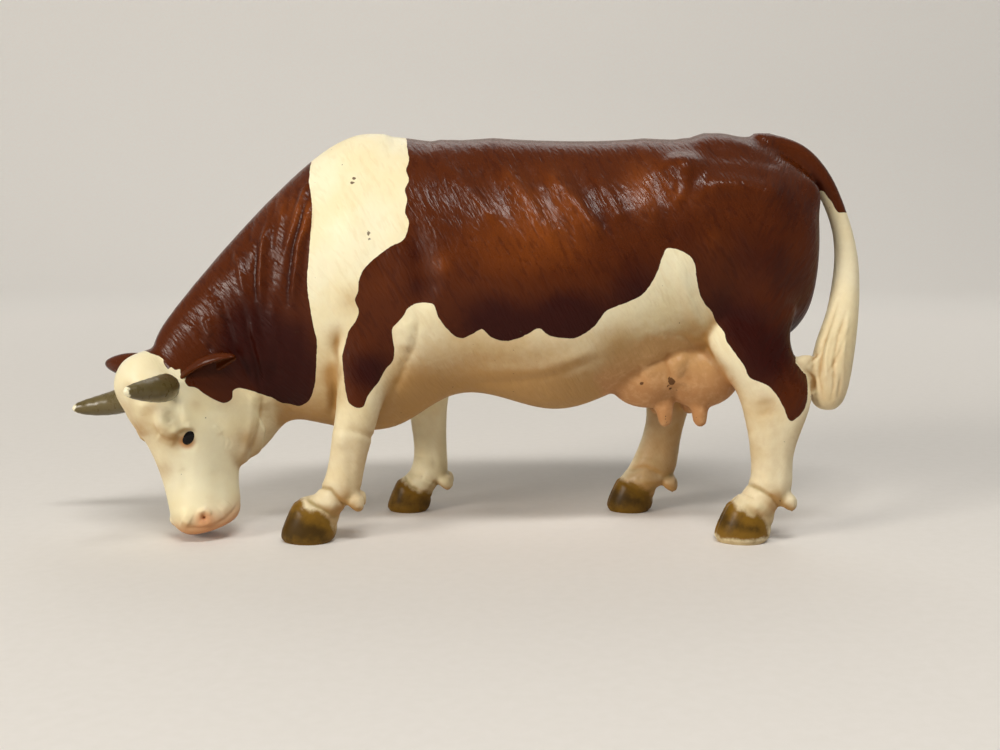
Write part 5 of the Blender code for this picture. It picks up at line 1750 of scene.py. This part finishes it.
def floor_material():
    """Pale matt paper, seen a little brighter away from the middle, as in a wide bright room."""
    material, tree, shader = new_material("pale paper sweep")
    place = add(tree, "TexCoord", output="Object")
    pulp = add(tree, "TexNoise", {"Vector": place, "Scale": PULP, "Detail": 3.0})
    tone = tinted(tree, linear(FLOOR_HEX), ((pulp, 0.0, 1.0, 1.0, FLOOR_LIGHT_HEX),))
    for name in ("Base Color", "Emission Color"):
        tree.links.new(tone, shader[name])
    away = add(tree, "VectorMath", (place,), "Value", operation="LENGTH")
    glow = add(tree, "MapRange", (away, 0.0, GLOW_REACH, *FLOOR_GLOW), **SMOOTH)
    glow = add(tree, "Math", (glow, background_rays(tree)), operation="MULTIPLY")
    tree.links.new(glow, shader["Emission Strength"])
    shader["Roughness"].default_value = 0.85
    return material


# Stage

FLOOR_HALF = 3.0
SWEEP_BACK = 0.55
SWEEP_RADIUS = 0.30
SWEEP_HEIGHT = 1.2
SWEEP_STEPS = 16

# How brightly the paper shows itself in the middle and beyond the reach, and how bright the room is: what
# it lights, and what it looks like
FLOOR_GLOW = (0.08, 0.40)
GLOW_REACH = 0.6
ROOM_LIGHT = 0.15
WALL_LIGHT = 0.55

# Soft boxes, aimed at the figure's middle: place, width, height, watts and colour
LAMP_TARGET = (0.0, 0.0, 0.035)
LAMPS = {
    "window key": ((0.07, -0.30, 0.52), 0.30, 0.07, 1.85, (1.0, 0.98, 0.95)),
    "low front fill": ((-0.80, -0.60, 0.40), 0.31, 0.29, 6.60, (1.0, 0.94, 0.86)),
    "back fill": ((0.10, 0.40, 0.50), 0.50, 0.30, 0.65, (1.0, 0.98, 0.95)),
}


def stage_sweep():
    """A floor that curves up into the backdrop."""
    profile = [(-FLOOR_HALF, 0.0), (SWEEP_BACK, 0.0)]
    for k in range(1, SWEEP_STEPS + 1):
        angle = math.pi / 2 * k / SWEEP_STEPS
        profile.append((SWEEP_BACK + SWEEP_RADIUS * math.sin(angle), SWEEP_RADIUS * (1 - math.cos(angle))))
    profile.append((SWEEP_BACK + SWEEP_RADIUS, SWEEP_HEIGHT))
    bm = bmesh.new()
    rows = [[bm.verts.new((x, y, z)) for x in (-FLOOR_HALF, FLOOR_HALF)] for y, z in profile]
    for row, following in zip(rows, rows[1:]):
        bm.faces.new((row[0], row[1], following[1], following[0]))
    mesh = bpy.data.meshes.new("sweep")
    bm.to_mesh(mesh)
    bm.free()
    mesh.shade_smooth()
    mesh.materials.append(floor_material())
    obj = bpy.data.objects.new("sweep", mesh)
    bpy.context.scene.collection.objects.link(obj)


def soft_box(name, place, width, height, power, colour):
    data = bpy.data.lights.new(name, "AREA")
    data.shape = "RECTANGLE"
    data.size = width
    data.size_y = height
    data.energy = power
    data.color = colour
    lamp = bpy.data.objects.new(name, data)
    lamp.location = place
    lamp.rotation_euler = (Vector(LAMP_TARGET) - Vector(place)).to_track_quat("-Z", "Y").to_euler()
    bpy.context.scene.collection.objects.link(lamp)


def studio():
    """The lamps, the pale room round them and the camera where the photograph's stood."""
    scene = bpy.context.scene
    for name, lamp in LAMPS.items():
        soft_box(name, *lamp)
    world = bpy.data.worlds.new("pale room")
    world.use_nodes = True
    tree = world.node_tree
    back = tree.nodes["Background"]
    back.inputs["Color"].default_value = linear(WALL_HEX)
    light = add(tree, "MapRange", (background_rays(tree), 0.0, 1.0, ROOM_LIGHT, WALL_LIGHT))
    tree.links.new(light, back.inputs["Strength"])
    scene.world = world
    scene.view_settings.view_transform = "Standard"

    data = bpy.data.cameras.new("photo camera")
    data.sensor_width = SENSOR_MM
    data.lens = FOCAL_PX / PHOTO_SIZE_PX[0] * SENSOR_MM
    data.clip_start = 0.01
    camera = bpy.data.objects.new("photo camera", data)
    camera.location = CAMERA_PLACE + ORIGIN_SHIFT
    camera.rotation_euler = (math.pi / 2 - CAMERA_DIP, 0, 0)
    scene.collection.objects.link(camera)
    scene.camera = camera


# Making

def dress(piece, material, slot, *nodes):
    """Gives a piece its material, tells the frame which body it rides on, and hides the frame's parts that
    it takes the place of.
    """
    piece.data.materials.clear()
    piece.data.materials.append(material)
    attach(piece, "root")
    if nodes:
        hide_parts(*nodes)


def main():
    clay = hide_master()
    sculpt_hide(clay)
    hide = hide_material(scuff_places(clay))
    slots = {"trunk": "trunk", "head": "head", "udder": "udder", "tail": "tail"}
    for name, piece in parted(clay, hide_fields(clay)).items():
        dress(piece, hide, slots.get(name, "legs"), name)
    enamel = eye_material()
    horn_paint = horn_material()
    sides = (("left", 1), ("right", -1))
    for name, side in sides:
        dress(eye(name + "_eye", side, clay), enamel, "head")
    bpy.data.objects.remove(clay.obj, do_unlink=True)
    for name, side in sides:
        dress(horn(name + "_horn", side), horn_paint, "horns", name + "_horn")
    ears = (
        ("left_ear", 1, LEFT_EAR_ROOT_SHARES, LEFT_EAR_POINT_SHARES, LEFT_EAR_OPENING),
        ("right_ear", -1, RIGHT_EAR_ROOT_SHARES, RIGHT_EAR_POINT_SHARES, RIGHT_EAR_OPENING),
    )
    for name, *shape in ears:
        dress(ear(name, *shape), hide, "ears", name)
    stage_sweep()
    studio()


main()
